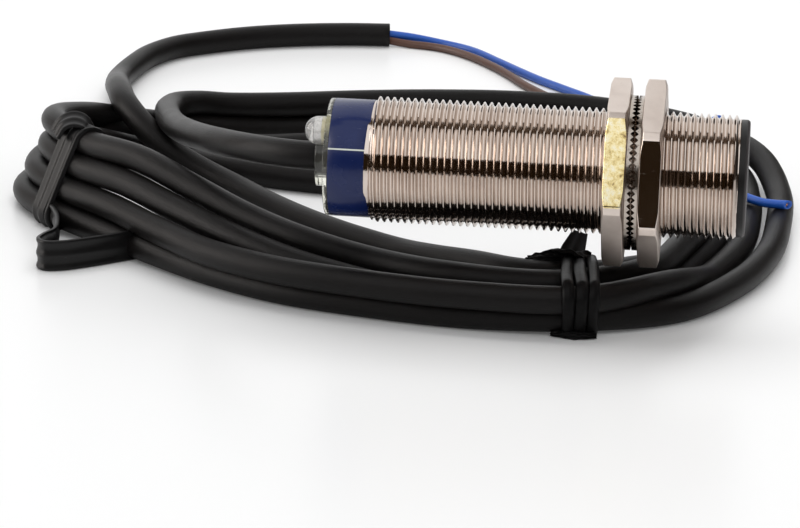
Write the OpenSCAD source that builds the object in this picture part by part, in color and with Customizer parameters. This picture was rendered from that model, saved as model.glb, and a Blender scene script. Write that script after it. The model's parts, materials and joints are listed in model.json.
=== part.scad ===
// Inductive proximity sensor with an M18 threaded barrel, two nuts, two lock washers and a coiled
// two-core cable. The origin is the centre of the sensing face, +X points out of that face along
// the barrel, +Z is up, and the cable lies on a floor below the barrel.

/* [Barrel] */
// Outer diameter over the thread crests
barrel_d = 18; // [17.6:0.1:18.4]
// Length from the sensing face to the back of the rear cap's flange
sensor_len = 60; // [58:1:70]
// Wall of the brass tube between its bore and the crests
barrel_wall = 1.4; // [1.3:0.05:1.5]
// Length of the plain neck that carries the label
neck_len = 5.3; // [4:0.1:8]
// Diameter of the plain neck
neck_d = 16.7; // [16.5:0.05:16.9]
// Pitch of the thread
pitch = 1; // [1:0.5:1.5]
// Turns of the thread to each groove that stands for it in the solid
turns_a_groove = 2; // [2:1:3]

/* [Front cap] */
// Thickness of the cap's lip in front of the barrel
lip_t = 1.2; // [1:0.1:1.6]
// Depth of the cap's cup inside the barrel
cup_depth = 10; // [9:0.5:12]
// Thickness of the cap's active face
face_t = 0.8; // [0.5:0.1:0.8]
// Wall of the cap's cup
cup_wall = 0.65; // [0.5:0.05:0.7]

/* [Rear cap and light] */
// Thickness of the clear flange that closes the barrel
flange_t = 0.7; // [0.5:0.1:1]
// Depth of the clear plug inside the barrel
plug_depth = 1.8; // [1.6:0.1:2.5]
// Diameter of the clear boss around the cable
boss_d = 8.6; // [8:0.1:9]
// Height of the boss behind the flange
boss_h = 1.6; // [1:0.1:2]
// Diameter of the light's lens
lens_d = 4.1; // [3.8:0.1:4.1]
// How far the light's dome stands out behind the flange
lens_out = 3.3; // [3:0.1:4]

/* [Nuts and washers] */
// Nut width across the flats
nut_af = 24; // [23:0.5:24]
// Nut thickness
nut_t = 3; // [2.5:0.1:4]
// Diameter of a nut's flat face inside the bevels on its corners
nut_face_d = 25.2; // [24.4:0.1:26]
// Diameter that a nut's corners are turned down to
nut_corner_d = 27; // [26.6:0.1:27.4]
// Distance from the sensing face to the front nut
nut_place = 12; // [10:0.5:14]
// Distance between the two nuts, which both washers fill
nut_gap = 2.04; // [2:0.02:2.2]
// Thickness of a washer over its teeth
washer_t = 0.86; // [0.8:0.02:0.92]
// Outer diameter of a washer
washer_d = 22.1; // [21.5:0.1:22.6]
// Number of teeth cut into a washer's face
teeth = 72; // [48:4:72]
// Depth of the teeth
tooth_h = 0.46; // [0.3:0.02:0.5]
// Radial clearance of the nuts on the thread crests
thread_play = 0.05; // [0.03:0.01:0.08]

/* [Electronics] */
// Width of the circuit board
board_w = 12; // [10:0.5:12]
// Thickness of the circuit board
board_t = 1; // [0.8:0.1:1]
// Height of the board's upper face below the barrel axis
board_drop = 1.6; // [1.6:0.1:2]

/* [Cable] */
// Outer diameter of the cable
cable_d = 4.1; // [4:0.05:4.1]
// Outer diameter of each insulated core
core_d = 1.4; // [1.3:0.05:1.4]
// Height of the barrel axis above the floor that the cable lies on
axis_h = 22.3; // [22.3:0.1:23]

/* [Hidden] */

$fn = 96;
eps = 0.02;

barrel_r = barrel_d / 2;
bore_r = barrel_r - barrel_wall;
neck_r = neck_d / 2;
label_t = 0.1;
rear_x = -sensor_len;
neck_rear_x = rear_x + flange_t;
neck_front_x = neck_rear_x + neck_len;
chamfer = 0.6;
thread_h = 0.6;
groove_w = 0.9 * pitch;
groove_step = turns_a_groove * pitch;
slip = 0.05;

cup_r = bore_r - slip;
cup_in_r = cup_r - cup_wall;
lip_r = barrel_r - chamfer;
plug_front_x = neck_rear_x + plug_depth;

cable_r = cable_d / 2;
core_r = core_d / 2;
floor_z = -axis_h;

// Pot core, bobbin and winding, from the face backwards
core_gap = 0.1;
pot_r = cup_in_r - core_gap;
pot_front_x = -face_t - core_gap;
pot_len = 7;
pot_rear_x = pot_front_x - pot_len;
pocket_depth = 5;
post_r = 2.9;
pocket_r = pot_r - 1;
bobbin_clear = 0.1;
bobbin_t = 0.5;
bobbin_front_x = pot_front_x - bobbin_clear;
bobbin_rear_x = pot_front_x - pocket_depth + bobbin_clear;
hub_in_r = post_r + bobbin_clear;
hub_r = hub_in_r + 0.3;
wire_hole_r = 0.4;
wire_r = 0.3;
lead_y = 4.3;

// Board and what it carries
board_top = -board_drop;
board_front_x = pot_rear_x - 1.6;
board_rear_x = plug_front_x + 0.2;
lead_z = board_top + wire_r;
core_seat_z = board_top + core_r;
core_y = [0.1, 1.55];
jacket_end_x = rear_x + 1.8;
core_end_x = jacket_end_x + 7;

// Light beside the cable
led_y = -2.2;
led_z = 4.4;
lens_r = lens_d / 2;
lens_bore_r = lens_r + slip;
led_seat_x = rear_x + 1.15;
led_rim_t = 0.8;
led_rim_r = lens_r + 0.25;
led_back_x = led_seat_x + led_rim_t;
led_pitch = 2.54;
leg = 0.5;

// Nuts and washers, counted from the sensing face backwards
stack_play = 0.04;
washer_gap = nut_gap - 2 * (washer_t + stack_play);
nut_bore_r = barrel_r + thread_play;
washer_bore_r = barrel_r + 0.1;
front_nut_x = -nut_place;
front_washer_x = front_nut_x - nut_t - stack_play;
rear_washer_x = front_washer_x - washer_t - washer_gap;
rear_nut_x = rear_washer_x - washer_t - stack_play;
front_nut_turn = 21.9;
rear_nut_turn = 8.7;

// Route of the cable from the rear cap to the coil: x, y, z
LEAD = [[jacket_end_x, 0, 0], [-62.8, 0, 0], [-67.3, 1.5, -0.2], [-72.3, 6, -1], [-77, 13, -2.4],
        [-82.4, 24, -4.7], [-87.4, 38, -7.6], [-91.2, 52, -10.3], [-94, 65, -12.5],
        [-94.9, 72, -13.5], [-94.3, 77.5, -14.2], [-91.2, 82, -15], [-87, 84.8, -15.8],
        [-80, 87.2, -16.1]];
// Route of the fifth turn across the inside of the coil: x, y, height of the centre over the floor
CHORD = [[-104.2, 56, 7.5], [-99, 61.3, 4.8], [-91, 63.8, 2.5], [-81.4, 60.9, 2.05],
         [-71.5, 58.2, 2.05], [-58, 57, 2.05], [-45, 58.5, 2.05], [-31, 61, 2.05],
         [-20, 58.5, 2.05], [-13.4, 52.5, 2.05], [-10.2, 44, 2.05], [-9.5, 35, 2.05],
         [-10.5, 27.5, 2.05], [-12.8, 20.3, 2.6], [-16.5, 11.8, 4.2], [-21.5, 5.4, 5.2]];
// Route of the free end: x, y, height of the centre over the floor
TAIL = [[-33.2, 5, 5.1], [-39.1, 9.4, 4.5], [-46, 15.6, 3.2], [-51.5, 21.2, 2.2],
        [-61.2, 29, 2.05], [-68.6, 36.2, 2.05], [-74.6, 43, 2.1], [-80.5, 49.4, 2.6],
        [-86, 53.2, 3.8], [-90, 55, 5.3], [-93.8, 56.8, 7.3], [-97.4, 59.4, 9.6],
        [-100.6, 63.8, 11.4], [-102.8, 71, 11.6], [-104.9, 81, 9.8], [-107.4, 95.8, 6],
        [-109.4, 107, 3.5], [-110.3, 115, 2.2], [-109.7, 123, 2.05], [-108, 132, 2.05],
        [-104.7, 139, 2.05], [-100.7, 143, 2.05], [-92.6, 149, 2.05], [-84, 153, 2.05],
        [-75, 155.5, 2.05], [-68, 156.5, 2.05]];
// Route of the blue core from the cut jacket, behind the coil and over its right side
BLUE = [[-68.3, 156.9, 2.1], [-64, 157.4, 1.6], [-58.5, 157.2, 0.8], [-53, 153.6, 0.7], [-47, 145.6, 0.7],
        [-42.8, 139.6, 0.7], [-38.8, 134.2, 0.7], [-34.5, 129.2, 0.7], [-30, 124, 0.7], [-25.5, 118, 0.7],
        [-20.5, 110.5, 0.7], [-15.5, 103.8, 0.7], [-10.8, 98.2, 0.9], [-7.2, 93.8, 2.6],
        [-5.8, 89.6, 6], [-6.4, 86, 8.1], [-8.4, 82, 7.4], [-10.4, 77, 5.6], [-10.2, 71, 5.1],
        [-9, 66, 5.1], [-6.8, 61, 5.3], [-3.5, 54.5, 5.2], [-0.9, 51.5, 5], [2.3, 49.3, 4.8], [5.9, 48.9, 4.8]];
// Route of the brown core, which turns back along the coil's far side
BROWN = [[-68.3, 156.1, 1.1], [-64, 155.6, 0.7], [-58.5, 154, 0.7], [-53.2, 149.6, 0.7],
         [-47.6, 142, 0.7], [-44.3, 136.3, 0.7], [-41.2, 130.2, 0.7], [-37, 123.6, 0.7],
         [-32.6, 117.6, 0.7], [-29.8, 112, 0.7], [-30.6, 106.6, 0.7], [-35.5, 103.4, 0.7],
         [-43.5, 102.4, 0.7], [-54, 101.6, 0.7], [-65, 100.4, 0.7], [-75, 97.8, 0.7]];

// Coil of four turns, one row for each place round it, going clockwise seen from above.
// angle and outer radius, then the outermost and innermost lane on the floor, then the outermost
// and innermost strand on top, as distances inwards, and the heights of those two strands
coil_centre = [-54, 46];
COIL = [[150, 52.8, 1.5, 8.5, -0.5, 6, 5.8, 5.2],
        [135, 50.8, 0, 14.8, 0, 10.8, 3.4, 2.6],
        [120, 48.6, 0, 15.8, 0, 11, 6.15, 2.2],
        [105, 47.6, 0, 15.8, 0, 11, 6.15, 2.2],
        [90, 49.2, 0, 15.5, 0, 11, 6.15, 2.2],
        [75, 52.8, 0, 15.3, 0, 10.5, 6.1, 2.2],
        [60, 57.4, 0, 15, 0, 10, 6.1, 2.2],
        [45, 61.2, 0, 14.5, -0.5, 10, 5.4, 2.4],
        [30, 61.2, 0, 14, -1, 13, 4.6, 2.6],
        [15, 59.6, 0, 11, -0.5, 12.6, 2.8, 4.6],
        [0, 58.5, 0, 9.5, 0.2, 11.2, 2.3, 5.6],
        [-15, 59.3, 0, 9.2, 0.2, 10.7, 2.3, 5.8],
        [-30, 61.4, 0, 9.2, 0.2, 10, 2.3, 5.9],
        [-45, 63.6, 0, 7.5, 1.5, 8, 4.6, 5.8],
        [-52, 63, 0, 6.5, -2, 10.2, 5.2, 5.3],
        [-66, 58.8, 0, 6.5, -2, 10, 5.2, 5.3],
        [-75, 55.3, 0, 6, -2.1, 7.5, 5.6, 5.6],
        [-90, 50.8, 0, 5.5, -2, 9.2, 5.6, 5.7],
        [-105, 48.5, 0, 5, -2, 8.4, 5.6, 7.3],
        [-120, 46.6, 0, 4, -1.9, 7.6, 5.6, 9],
        [-135, 46.2, 0, 3, -0.5, 6.4, 6, 11.2],
        [-150, 48.3, 0, 1.5, 4.4, 5.2, 13.2, 13.2],
        [-165, 54, 0, 1, 4.2, 4.8, 13, 13],
        [-180, 59.2, 0, 1, 3.4, 4, 12.8, 12.8],
        [-195, 55.6, 0, 1.5, 1.6, 2.6, 10.2, 9.8]];
tie_t = 0.35;
tie_lift = 0.4;
ribbon_w = 4.5;
// Each tie: the rows of the coil that it lies between, the way that the strands run there, and how
// far along that way its band starts and ends
RIGHT_TIE = [[13, 14, 15, 16], [1, 0.09], [-20.6, -26]];
LEFT_TIE = [[21, 22, 23], [-0.45, 0.89], [73.6, 78.2]];
TIED_ROWS = concat(RIGHT_TIE[0], LEFT_TIE[0]);
// Bends of the loop that the left tie's loose end makes on the floor
RIBBON = [[-106.2, 31], [-104.2, 26.5], [-102.8, 20.5], [-102.9, 14.8], [-104.1, 12], [-104.3, 9.8],
          [-103, 8.3], [-100.5, 8.9], [-97.5, 11], [-92.8, 15], [-90.8, 16.7]];

function unit(v) = v / norm(v);
function over_floor(route) = [for (p = route) [p.x, p.y, p.z + floor_z]];
// Smooth curve through the points of a route, in steps of about the given length
function spline(a, b, c, d, u) =
    (2 * b + (c - a) * u + (2 * a - 5 * b + 4 * c - d) * u * u + (3 * b - 3 * c + d - a) * u * u * u) / 2;
function smooth(p, step) =
    let (last = len(p) - 1)
    [for (i = [0 : last - 1])
        let (a = p[max(i - 1, 0)], d = p[min(i + 2, last)],
             n = max(1, round(norm(p[i + 1] - p[i]) / step)))
        for (k = [0 : n - 1]) spline(a, p[i], p[i + 1], d, k / n),
     p[last]];
function heading(p, i) = unit(p[min(i + 1, len(p) - 1)] - p[max(i - 1, 0)]);
// Rings of points across a route
function sweep(p, r, sides) =
    [for (i = [0 : len(p) - 1])
        let (t = heading(p, i), side = unit(cross(t, [0, 0, 1])), up = cross(side, t))
        [for (k = [0 : sides - 1])
            let (a = 360 * (k + 0.5) / sides) p[i] + r * (cos(a) * side + sin(a) * up)]];
function flat(rings) = [for (ring = rings) for (p = ring) p];
// Faces between ring i and ring j of n points each
function bridge(i, j, n) =
    [for (k = [0 : n - 1]) each
        [[i * n + k, i * n + (k + 1) % n, j * n + k], [i * n + (k + 1) % n, j * n + (k + 1) % n, j * n + k]]];

// Cross section of the coil at one row, grown outwards by g and raised by lift
function corner(in, up, a0, g) =
    [for (a = [a0 + 10, a0 + 45, a0 + 80]) [in - (cable_r + g) * cos(a), up + (cable_r + g) * sin(a)]];
function outline(row, g, lift) =
    concat(corner(row[4], row[6] + lift, 0, g), corner(row[5], row[7] + lift, 90, g),
           corner(row[3], cable_r + lift, 180, g), corner(row[2], cable_r + lift, 270, g));
function coil_ring(row, g = 0) =
    let (tied = len([for (i = TIED_ROWS) if (COIL[i] == row) i]) > 0,
         dir = [cos(row[0]), sin(row[0])])
    [for (q = outline(row, g, tied ? tie_lift : 0))
        let (c = coil_centre + (row[1] - q.x) * dir) [c.x, c.y, floor_z + q.y]];
function part_way(a, b, u) = [for (i = [0 : len(a) - 1]) a[i] * (1 - u) + b[i] * u];

// Disc or tube along the barrel axis, from x0 to x1
module disc(x0, x1, r) {
    translate([x0, 0, 0]) rotate([0, 90, 0]) cylinder(h = x1 - x0, r = r);
}
module pipe(x0, x1, r_out, r_in) {
    difference() {
        disc(x0, x1, r_out);
        disc(x0 - 1, x1 + 1, r_in);
    }
}
// Turned shape from a profile of [x, radius] points
module turned(profile) {
    rotate([0, 90, 0]) rotate_extrude() polygon([for (p = profile) [p[1], p[0]]]);
}
module box(x0, x1, y0, y1, z0, z1) {
    translate([x0, y0, z0]) cube([x1 - x0, y1 - y0, z1 - z0]);
}
module at_led() {
    translate([0, led_y, led_z]) children();
}
module tube_along(rings) {
    n = len(rings[0]);
    last = len(rings) - 1;
    polyhedron(flat(rings), concat(
        [[for (k = [n - 1 : -1 : 0]) k]],
        [for (i = [0 : last - 1]) each bridge(i, i + 1, n)],
        [[for (k = [0 : n - 1]) last * n + k]]), convexity = 8);
}
module closed_loop(rings) {
    n = len(rings[0]);
    polyhedron(flat(rings), [for (i = [0 : len(rings) - 1]) each bridge((i + 1) % len(rings), i, n)],
        convexity = 8);
}

// Black cap that closes the front of the barrel and holds the pot core
module front_cap() {
    color("#1d1d1f") difference() {
        turned([[0, 0], [0, lip_r - 0.3], [-0.3, lip_r], [-lip_t, lip_r], [-lip_t, cup_r],
                [-cup_depth, cup_r], [-cup_depth, 0]]);
        disc(-cup_depth - 1, -face_t, cup_in_r);
    }
}

// Grooves one behind the other, as profile points, from the first groove's middle backwards
function grooves(x, step, n) =
    [for (i = [0 : n - 1]) each [[x - i * step + groove_w / 2, barrel_r], [x - i * step, barrel_r - thread_h],
                                 [x - i * step - groove_w / 2, barrel_r]]];
// Brass tube with a plain neck. A groove for every few turns stands for the thread.
module barrel() {
    front_x = -lip_t;
    thread_front_x = front_x - chamfer - pitch;
    thread_rear_x = neck_front_x + 1.1 + pitch;
    n = floor((thread_front_x - thread_rear_x) / groove_step) + 1;
    color("#b9a98c") turned(concat(
        [[front_x, bore_r], [front_x, lip_r], [front_x - chamfer, barrel_r]],
        grooves(thread_front_x, groove_step, n),
        [[neck_front_x + 1.1, barrel_r], [neck_front_x + 0.5, neck_r + label_t],
         [neck_front_x, neck_r + label_t], [neck_front_x, neck_r],
         [neck_rear_x, neck_r], [neck_rear_x, bore_r]]));
}

module label_band() {
    color("#1c2f6b") pipe(neck_rear_x, neck_front_x, neck_r + label_t, neck_r);
}

// Clear cap with a boss for the cable and a bore for the light
module rear_cap() {
    color("#d9dccb") difference() {
        union() {
            disc(rear_x, neck_rear_x, neck_r + 0.07);
            disc(neck_rear_x, plug_front_x, bore_r - slip);
            disc(rear_x - boss_h, rear_x, boss_d / 2);
        }
        disc(rear_x - boss_h - 1, jacket_end_x, cable_r + slip);
        disc(jacket_end_x - eps, plug_front_x + 1, 2.52);
        at_led() disc(rear_x - boss_h - 1, plug_front_x + 1, lens_bore_r);
        at_led() disc(led_seat_x - eps, plug_front_x + 1, led_rim_r + eps);
    }
}

module led_lens() {
    dome_x = rear_x - lens_out + lens_r;
    color("#f0efe6") at_led() union() {
        disc(dome_x, led_back_x, lens_r);
        disc(led_seat_x, led_back_x, led_rim_r);
        translate([dome_x, 0, 0]) sphere(r = lens_r);
    }
}

// Two bent legs from the light down to the board
module led_leads() {
    bend_x = led_back_x + 1.5;
    color("#c8c8c8") for (side = [-1, 1]) {
        y = led_y + side * led_pitch / 2;
        box(led_back_x, bend_x, y - leg / 2, y + leg / 2, led_z - leg / 2, led_z + leg / 2);
        box(bend_x - leg, bend_x, y - leg / 2, y + leg / 2, board_top, led_z);
    }
}

module lead_holes(x0, x1) {
    for (side = [-1, 1]) translate([0, side * lead_y, lead_z]) disc(x0, x1, wire_hole_r);
}

module ferrite_core() {
    color("#3a3a3d") difference() {
        disc(pot_rear_x, pot_front_x, pot_r);
        pipe(pot_front_x - pocket_depth, pot_front_x + 1, pocket_r, post_r);
        lead_holes(pot_rear_x - 1, pot_front_x - 1);
    }
}

module coil_bobbin() {
    flange_r = pocket_r - bobbin_clear;
    color("#e8e2d0") difference() {
        union() {
            disc(bobbin_rear_x, bobbin_front_x, hub_r);
            disc(bobbin_rear_x, bobbin_rear_x + bobbin_t, flange_r);
            disc(bobbin_front_x - bobbin_t, bobbin_front_x, flange_r);
        }
        disc(bobbin_rear_x - 1, bobbin_front_x + 1, hub_in_r);
        lead_holes(bobbin_rear_x - 1, bobbin_rear_x + bobbin_t);
    }
}

module coil_winding() {
    color("#b4622d") pipe(bobbin_rear_x + bobbin_t, bobbin_front_x - bobbin_t, pocket_r - 0.3, hub_r);
}

module coil_leads() {
    color("#b4622d") for (side = [-1, 1])
        translate([0, side * lead_y, lead_z]) disc(board_front_x - 2.5, bobbin_rear_x + bobbin_t, wire_r);
}

module circuit_board() {
    color("#2f6b3a")
        box(board_rear_x, board_front_x, -board_w / 2, board_w / 2, board_top - board_t, board_top);
}

module on_board(x, y, size) {
    translate([x - size.x / 2, y - size.y / 2, board_top]) cube(size);
}

module oscillator_chip() {
    color("#222222") on_board(-22.5, 0, [5, 4, 1.6]);
}

module output_transistor() {
    color("#222222") {
        on_board(-36, 0, [6.5, 3.5, 1.8]);
        for (dx = [-2.3, 0, 2.3]) on_board(-36 + dx, -2.5, [0.8, 1.5, 0.5]);
        on_board(-36, 2.5, [3.2, 1.5, 0.5]);
    }
}

module capacitors() {
    color("#b08d57") {
        for (x = [-14, -28.5, -43]) on_board(x, 0, [2, 1.25, 1.1]);
        on_board(-47.5, -3.6, [3.2, 1.6, 1.6]);
    }
}

module resistors() {
    color("#2b2b2b") for (i = [0 : 5])
        on_board(-16 - 5.6 * i, i % 2 == 0 ? 4.2 : -4.2, [1.6, 0.8, 0.5]);
}

// Ends of the two cores inside, lying on the board
module board_wires() {
    color("#3355aa") for (y = core_y)
        translate([0, y, core_seat_z]) disc(jacket_end_x, core_end_x, core_r);
}

// Resin that fills the barrel round the board
module potting() {
    color("#6b6257") difference() {
        union() {
            disc(plug_front_x, -cup_depth, bore_r - slip);
            disc(-cup_depth, pot_rear_x, cup_in_r - slip);
        }
        circuit_board();
        oscillator_chip();
        output_transistor();
        capacitors();
        resistors();
        board_wires();
        coil_leads();
        led_leads();
        at_led() disc(plug_front_x - 1, led_back_x + eps, led_rim_r + eps);
    }
}

// Hexagon nut between x - nut_t and x. Its corners are turned down, and turned back on both faces.
module nut(x, turn) {
    face_r = nut_face_d / 2;
    corner_r = nut_corner_d / 2;
    rear = x - nut_t;
    bevel = (corner_r - face_r) / 3;
    mouth = 0.4;
    color("#c9bfb4") difference() {
        intersection() {
            translate([rear, 0, 0]) rotate([90, 0, 90]) rotate(turn)
                cylinder(h = nut_t, d = nut_af / cos(30), $fn = 6);
            turned([[rear, 0], [rear, face_r], [rear + bevel, corner_r], [x - bevel, corner_r],
                    [x, face_r], [x, 0]]);
        }
        disc(rear - 1, x + 1, nut_bore_r);
        turned([[rear - eps, 0], [rear - eps, nut_bore_r + mouth], [rear + mouth, nut_bore_r],
                [rear + mouth, 0]]);
        turned([[x + eps, 0], [x + eps, nut_bore_r + mouth], [x - mouth, nut_bore_r], [x - mouth, 0]]);
    }
}

// Lock washer: a ring from smooth_x to toothed_x whose toothed face is cut by radial V grooves.
// The grooves are as wide as they can be without meeting at the bore.
module lock_washer(smooth_x, toothed_x) {
    out = sign(toothed_x - smooth_x);
    start_r = washer_bore_r - 0.2;
    over = 0.02;
    half = 0.98 * PI * start_r / teeth;
    color("#8f8983") difference() {
        pipe(min(smooth_x, toothed_x), max(smooth_x, toothed_x), washer_d / 2, washer_bore_r);
        for (i = [0 : teeth - 1]) rotate([360 * (i + 0.5) / teeth, 0, 0])
            translate([toothed_x, start_r, 0]) rotate([-90, 0, 0])
                linear_extrude(washer_d / 2 + 0.5 - start_r)
                    polygon([[-out * tooth_h, 0], [out * over, -half], [out * over, half]]);
    }
}

module front_nut() { nut(front_nut_x, front_nut_turn); }
module rear_nut() { nut(rear_nut_x, rear_nut_turn); }
module front_washer() { lock_washer(front_washer_x, front_washer_x - washer_t); }
module rear_washer() { lock_washer(rear_washer_x - washer_t, rear_washer_x); }

module cable_lead() {
    color("#1b1b1d") tube_along(sweep(smooth(LEAD, 11), cable_r, 10));
}
module cable_chord() {
    color("#1b1b1d") tube_along(sweep(smooth(over_floor(CHORD), 12), cable_r, 10));
}
module cable_tail() {
    color("#1b1b1d") tube_along(sweep(smooth(over_floor(TAIL), 12), cable_r, 10));
}
module core_blue() {
    color("#1f4fb5") tube_along(sweep(smooth(over_floor(BLUE), 8), core_r, 8));
}
module core_brown() {
    color("#5b3320") tube_along(sweep(smooth(over_floor(BROWN), 8), core_r, 8));
}

module cable_coil() {
    color("#1b1b1d") closed_loop([for (row = COIL) coil_ring(row)]);
}

// Where corner k of the coil's outline, grown by g, is a distance d along the way dir
function crossing(rows, k, g, dir, d) =
    let (p = [for (r = rows) coil_ring(COIL[r], g)[k]], f = [for (q = p) dir * [q.x, q.y]],
         i = [for (i = [0 : len(p) - 2]) if ((f[i] - d) * (f[i + 1] - d) <= 0) i][0])
    part_way(p[i], p[i + 1], (d - f[i]) / (f[i + 1] - f[i]));
function tie_ring(tie, g, d) = [for (k = [0 : 11]) crossing(tie[0], k, g, tie[1], d)];
// Band of twist tie round the coil
module tie_band(tie) {
    g = tie_t + slip;
    closed_loop([tie_ring(tie, g, tie[2][0]), tie_ring(tie, g, tie[2][1]),
                 tie_ring(tie, slip, tie[2][1]), tie_ring(tie, slip, tie[2][0])]);
}

function strip(p, t) =
    let (n = len(p), side = [for (i = [0 : n - 1])
        let (h = unit(p[min(i + 1, n - 1)] - p[max(i - 1, 0)])) [-h.y, h.x] * t / 2])
    concat([for (i = [0 : n - 1]) p[i] + side[i]], [for (i = [n - 1 : -1 : 0]) p[i] - side[i]]);

module left_tie() {
    color("#141416") {
        tie_band(LEFT_TIE);
        translate([0, 0, floor_z]) linear_extrude(ribbon_w) polygon(strip(smooth(RIBBON, 2), 0.6));
    }
}
// Band with one end of the tie standing up from it and leaning back
module right_tie() {
    color("#141416") {
        tie_band(RIGHT_TIE);
        hull() {
            translate([-26.6, 4.4, floor_z + 7.3]) cube([3.6, 1.2, 0.5]);
            translate([-24.7, 8.8, floor_z + 9.8]) cube([2.4, 0.5, 0.4]);
        }
    }
}

front_cap();
barrel();
label_band();
rear_cap();
led_lens();
led_leads();
ferrite_core();
coil_bobbin();
coil_winding();
coil_leads();
circuit_board();
oscillator_chip();
output_transistor();
capacitors();
resistors();
board_wires();
potting();
front_nut();
front_washer();
rear_washer();
rear_nut();
cable_lead();
cable_coil();
cable_chord();
cable_tail();
core_blue();
core_brown();
left_tie();
right_tie();
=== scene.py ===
# %% [markdown]
# # A threaded proximity sensor on its coil of cable
# This lesson dresses a packed CAD model of an inductive proximity sensor: a threaded nickel-plated
# barrel, two nuts, two toothed lock washers, a clear rear cap with a light, and a long black cable
# that lies coiled under it. The CAD model fixes every size and every joint. Here each visible
# surface gets its real form and finish: the helix of the thread, the strands of the coil, the
# ribbed ties. Lengths are written in millimetres and turned into metres in one place.

# %% Load the frame
import json
import math
from contextlib import contextmanager

import bmesh
import bpy
import numpy as np
from mathutils import Matrix, Vector

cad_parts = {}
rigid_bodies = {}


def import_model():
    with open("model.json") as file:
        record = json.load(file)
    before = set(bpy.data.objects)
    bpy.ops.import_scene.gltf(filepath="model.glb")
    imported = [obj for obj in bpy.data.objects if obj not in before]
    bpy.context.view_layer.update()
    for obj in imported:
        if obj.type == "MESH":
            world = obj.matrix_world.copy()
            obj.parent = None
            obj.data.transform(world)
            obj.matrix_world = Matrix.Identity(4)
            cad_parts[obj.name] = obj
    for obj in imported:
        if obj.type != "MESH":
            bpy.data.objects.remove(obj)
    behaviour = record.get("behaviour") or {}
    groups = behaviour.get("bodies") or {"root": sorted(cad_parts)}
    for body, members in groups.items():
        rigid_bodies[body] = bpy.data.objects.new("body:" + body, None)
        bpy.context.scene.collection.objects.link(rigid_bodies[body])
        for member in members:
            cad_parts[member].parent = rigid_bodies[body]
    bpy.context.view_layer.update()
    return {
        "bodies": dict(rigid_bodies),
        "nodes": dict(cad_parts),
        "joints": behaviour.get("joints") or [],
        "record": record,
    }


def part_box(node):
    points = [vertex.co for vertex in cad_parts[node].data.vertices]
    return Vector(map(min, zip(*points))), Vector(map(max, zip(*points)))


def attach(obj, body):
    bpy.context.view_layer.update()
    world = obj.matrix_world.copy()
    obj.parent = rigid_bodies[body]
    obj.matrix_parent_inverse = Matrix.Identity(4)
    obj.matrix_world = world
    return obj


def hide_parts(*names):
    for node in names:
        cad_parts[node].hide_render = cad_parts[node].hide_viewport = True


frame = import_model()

MM = 0.001
scene = bpy.context.scene

# %% [markdown]
# ## The camera
# A product picture like this one is taken with a long lens from a little above, so the barrel keeps
# its proportions. The camera has a place, a compass angle, a height angle and a slight roll. Its
# matrix multiplies these four moves, because three angles in one line would hide their order.

# %% Camera
CAMERA_AT = Vector((6.8, -562.6, 157.3)) * MM
CAMERA_ANGLES = (5.7, 17.0, 1.55)   # compass, height and roll in degrees
CAMERA_LENS = 184.05
NEAREST, FARTHEST = 0.01, 20   # metres


def linked(name, data):
    """A new object of the scene that holds this mesh, lamp or camera."""
    thing = bpy.data.objects.new(name, data)
    scene.collection.objects.link(thing)
    return thing


camera = linked("camera", bpy.data.cameras.new("camera"))
camera.data.lens, camera.data.clip_start, camera.data.clip_end = CAMERA_LENS, NEAREST, FARTHEST
compass, height, roll = (math.radians(angle) for angle in CAMERA_ANGLES)
camera.matrix_world = (
    Matrix.Translation(CAMERA_AT) @ Matrix.Rotation(compass, 4, "Z")
    @ Matrix.Rotation(math.pi / 2 - height, 4, "X") @ Matrix.Rotation(roll, 4, "Z"))
scene.camera = camera
print("camera at", [round(v, 3) for v in CAMERA_AT])

# %% [markdown]
# ## Node trees written as maths
# A material or a Geometry Nodes tree is easier to read as an expression than as a list of links.
# `Value` stands for one socket: adding, multiplying or comparing it makes the Math node for it.
# `Nodes` makes every other node, from its type, its settings and what goes into its sockets.


# %% A socket that does sums
def operator(operation, swapped=False):
    """The method behind one sign: it makes the Math node of this operation."""
    def method(self, other):
        return self.nodes.math(operation, *((other, self) if swapped else (self, other)))
    return method


class Value:
    """An output socket. Arithmetic on it adds Math nodes to its tree."""
    __add__, __radd__ = operator("ADD"), operator("ADD", True)
    __sub__, __rsub__ = operator("SUBTRACT"), operator("SUBTRACT", True)
    __mul__, __rmul__ = operator("MULTIPLY"), operator("MULTIPLY", True)
    __truediv__ = operator("DIVIDE")
    __gt__, __lt__ = operator("GREATER_THAN"), operator("LESS_THAN")

    def __init__(self, nodes, socket):
        self.nodes, self.socket = nodes, socket

    def math(self, operation, *others):
        return self.nodes.math(operation, self, *others)

    def wave(self):
        """A triangle wave: how far the fraction of this number lies from a half, 0 to 0.5."""
        return (self.math("FRACT") - 0.5).math("ABSOLUTE")

    def other(self, name):
        """Another output of the same node."""
        return Value(self.nodes, self.socket.node.outputs[name])

    def part(self, axis):
        """One component of a vector."""
        return self.nodes.add("ShaderNodeSeparateXYZ", {}, {0: self}, axis)


print("nodes can be written with + - * / > and <")


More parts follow.
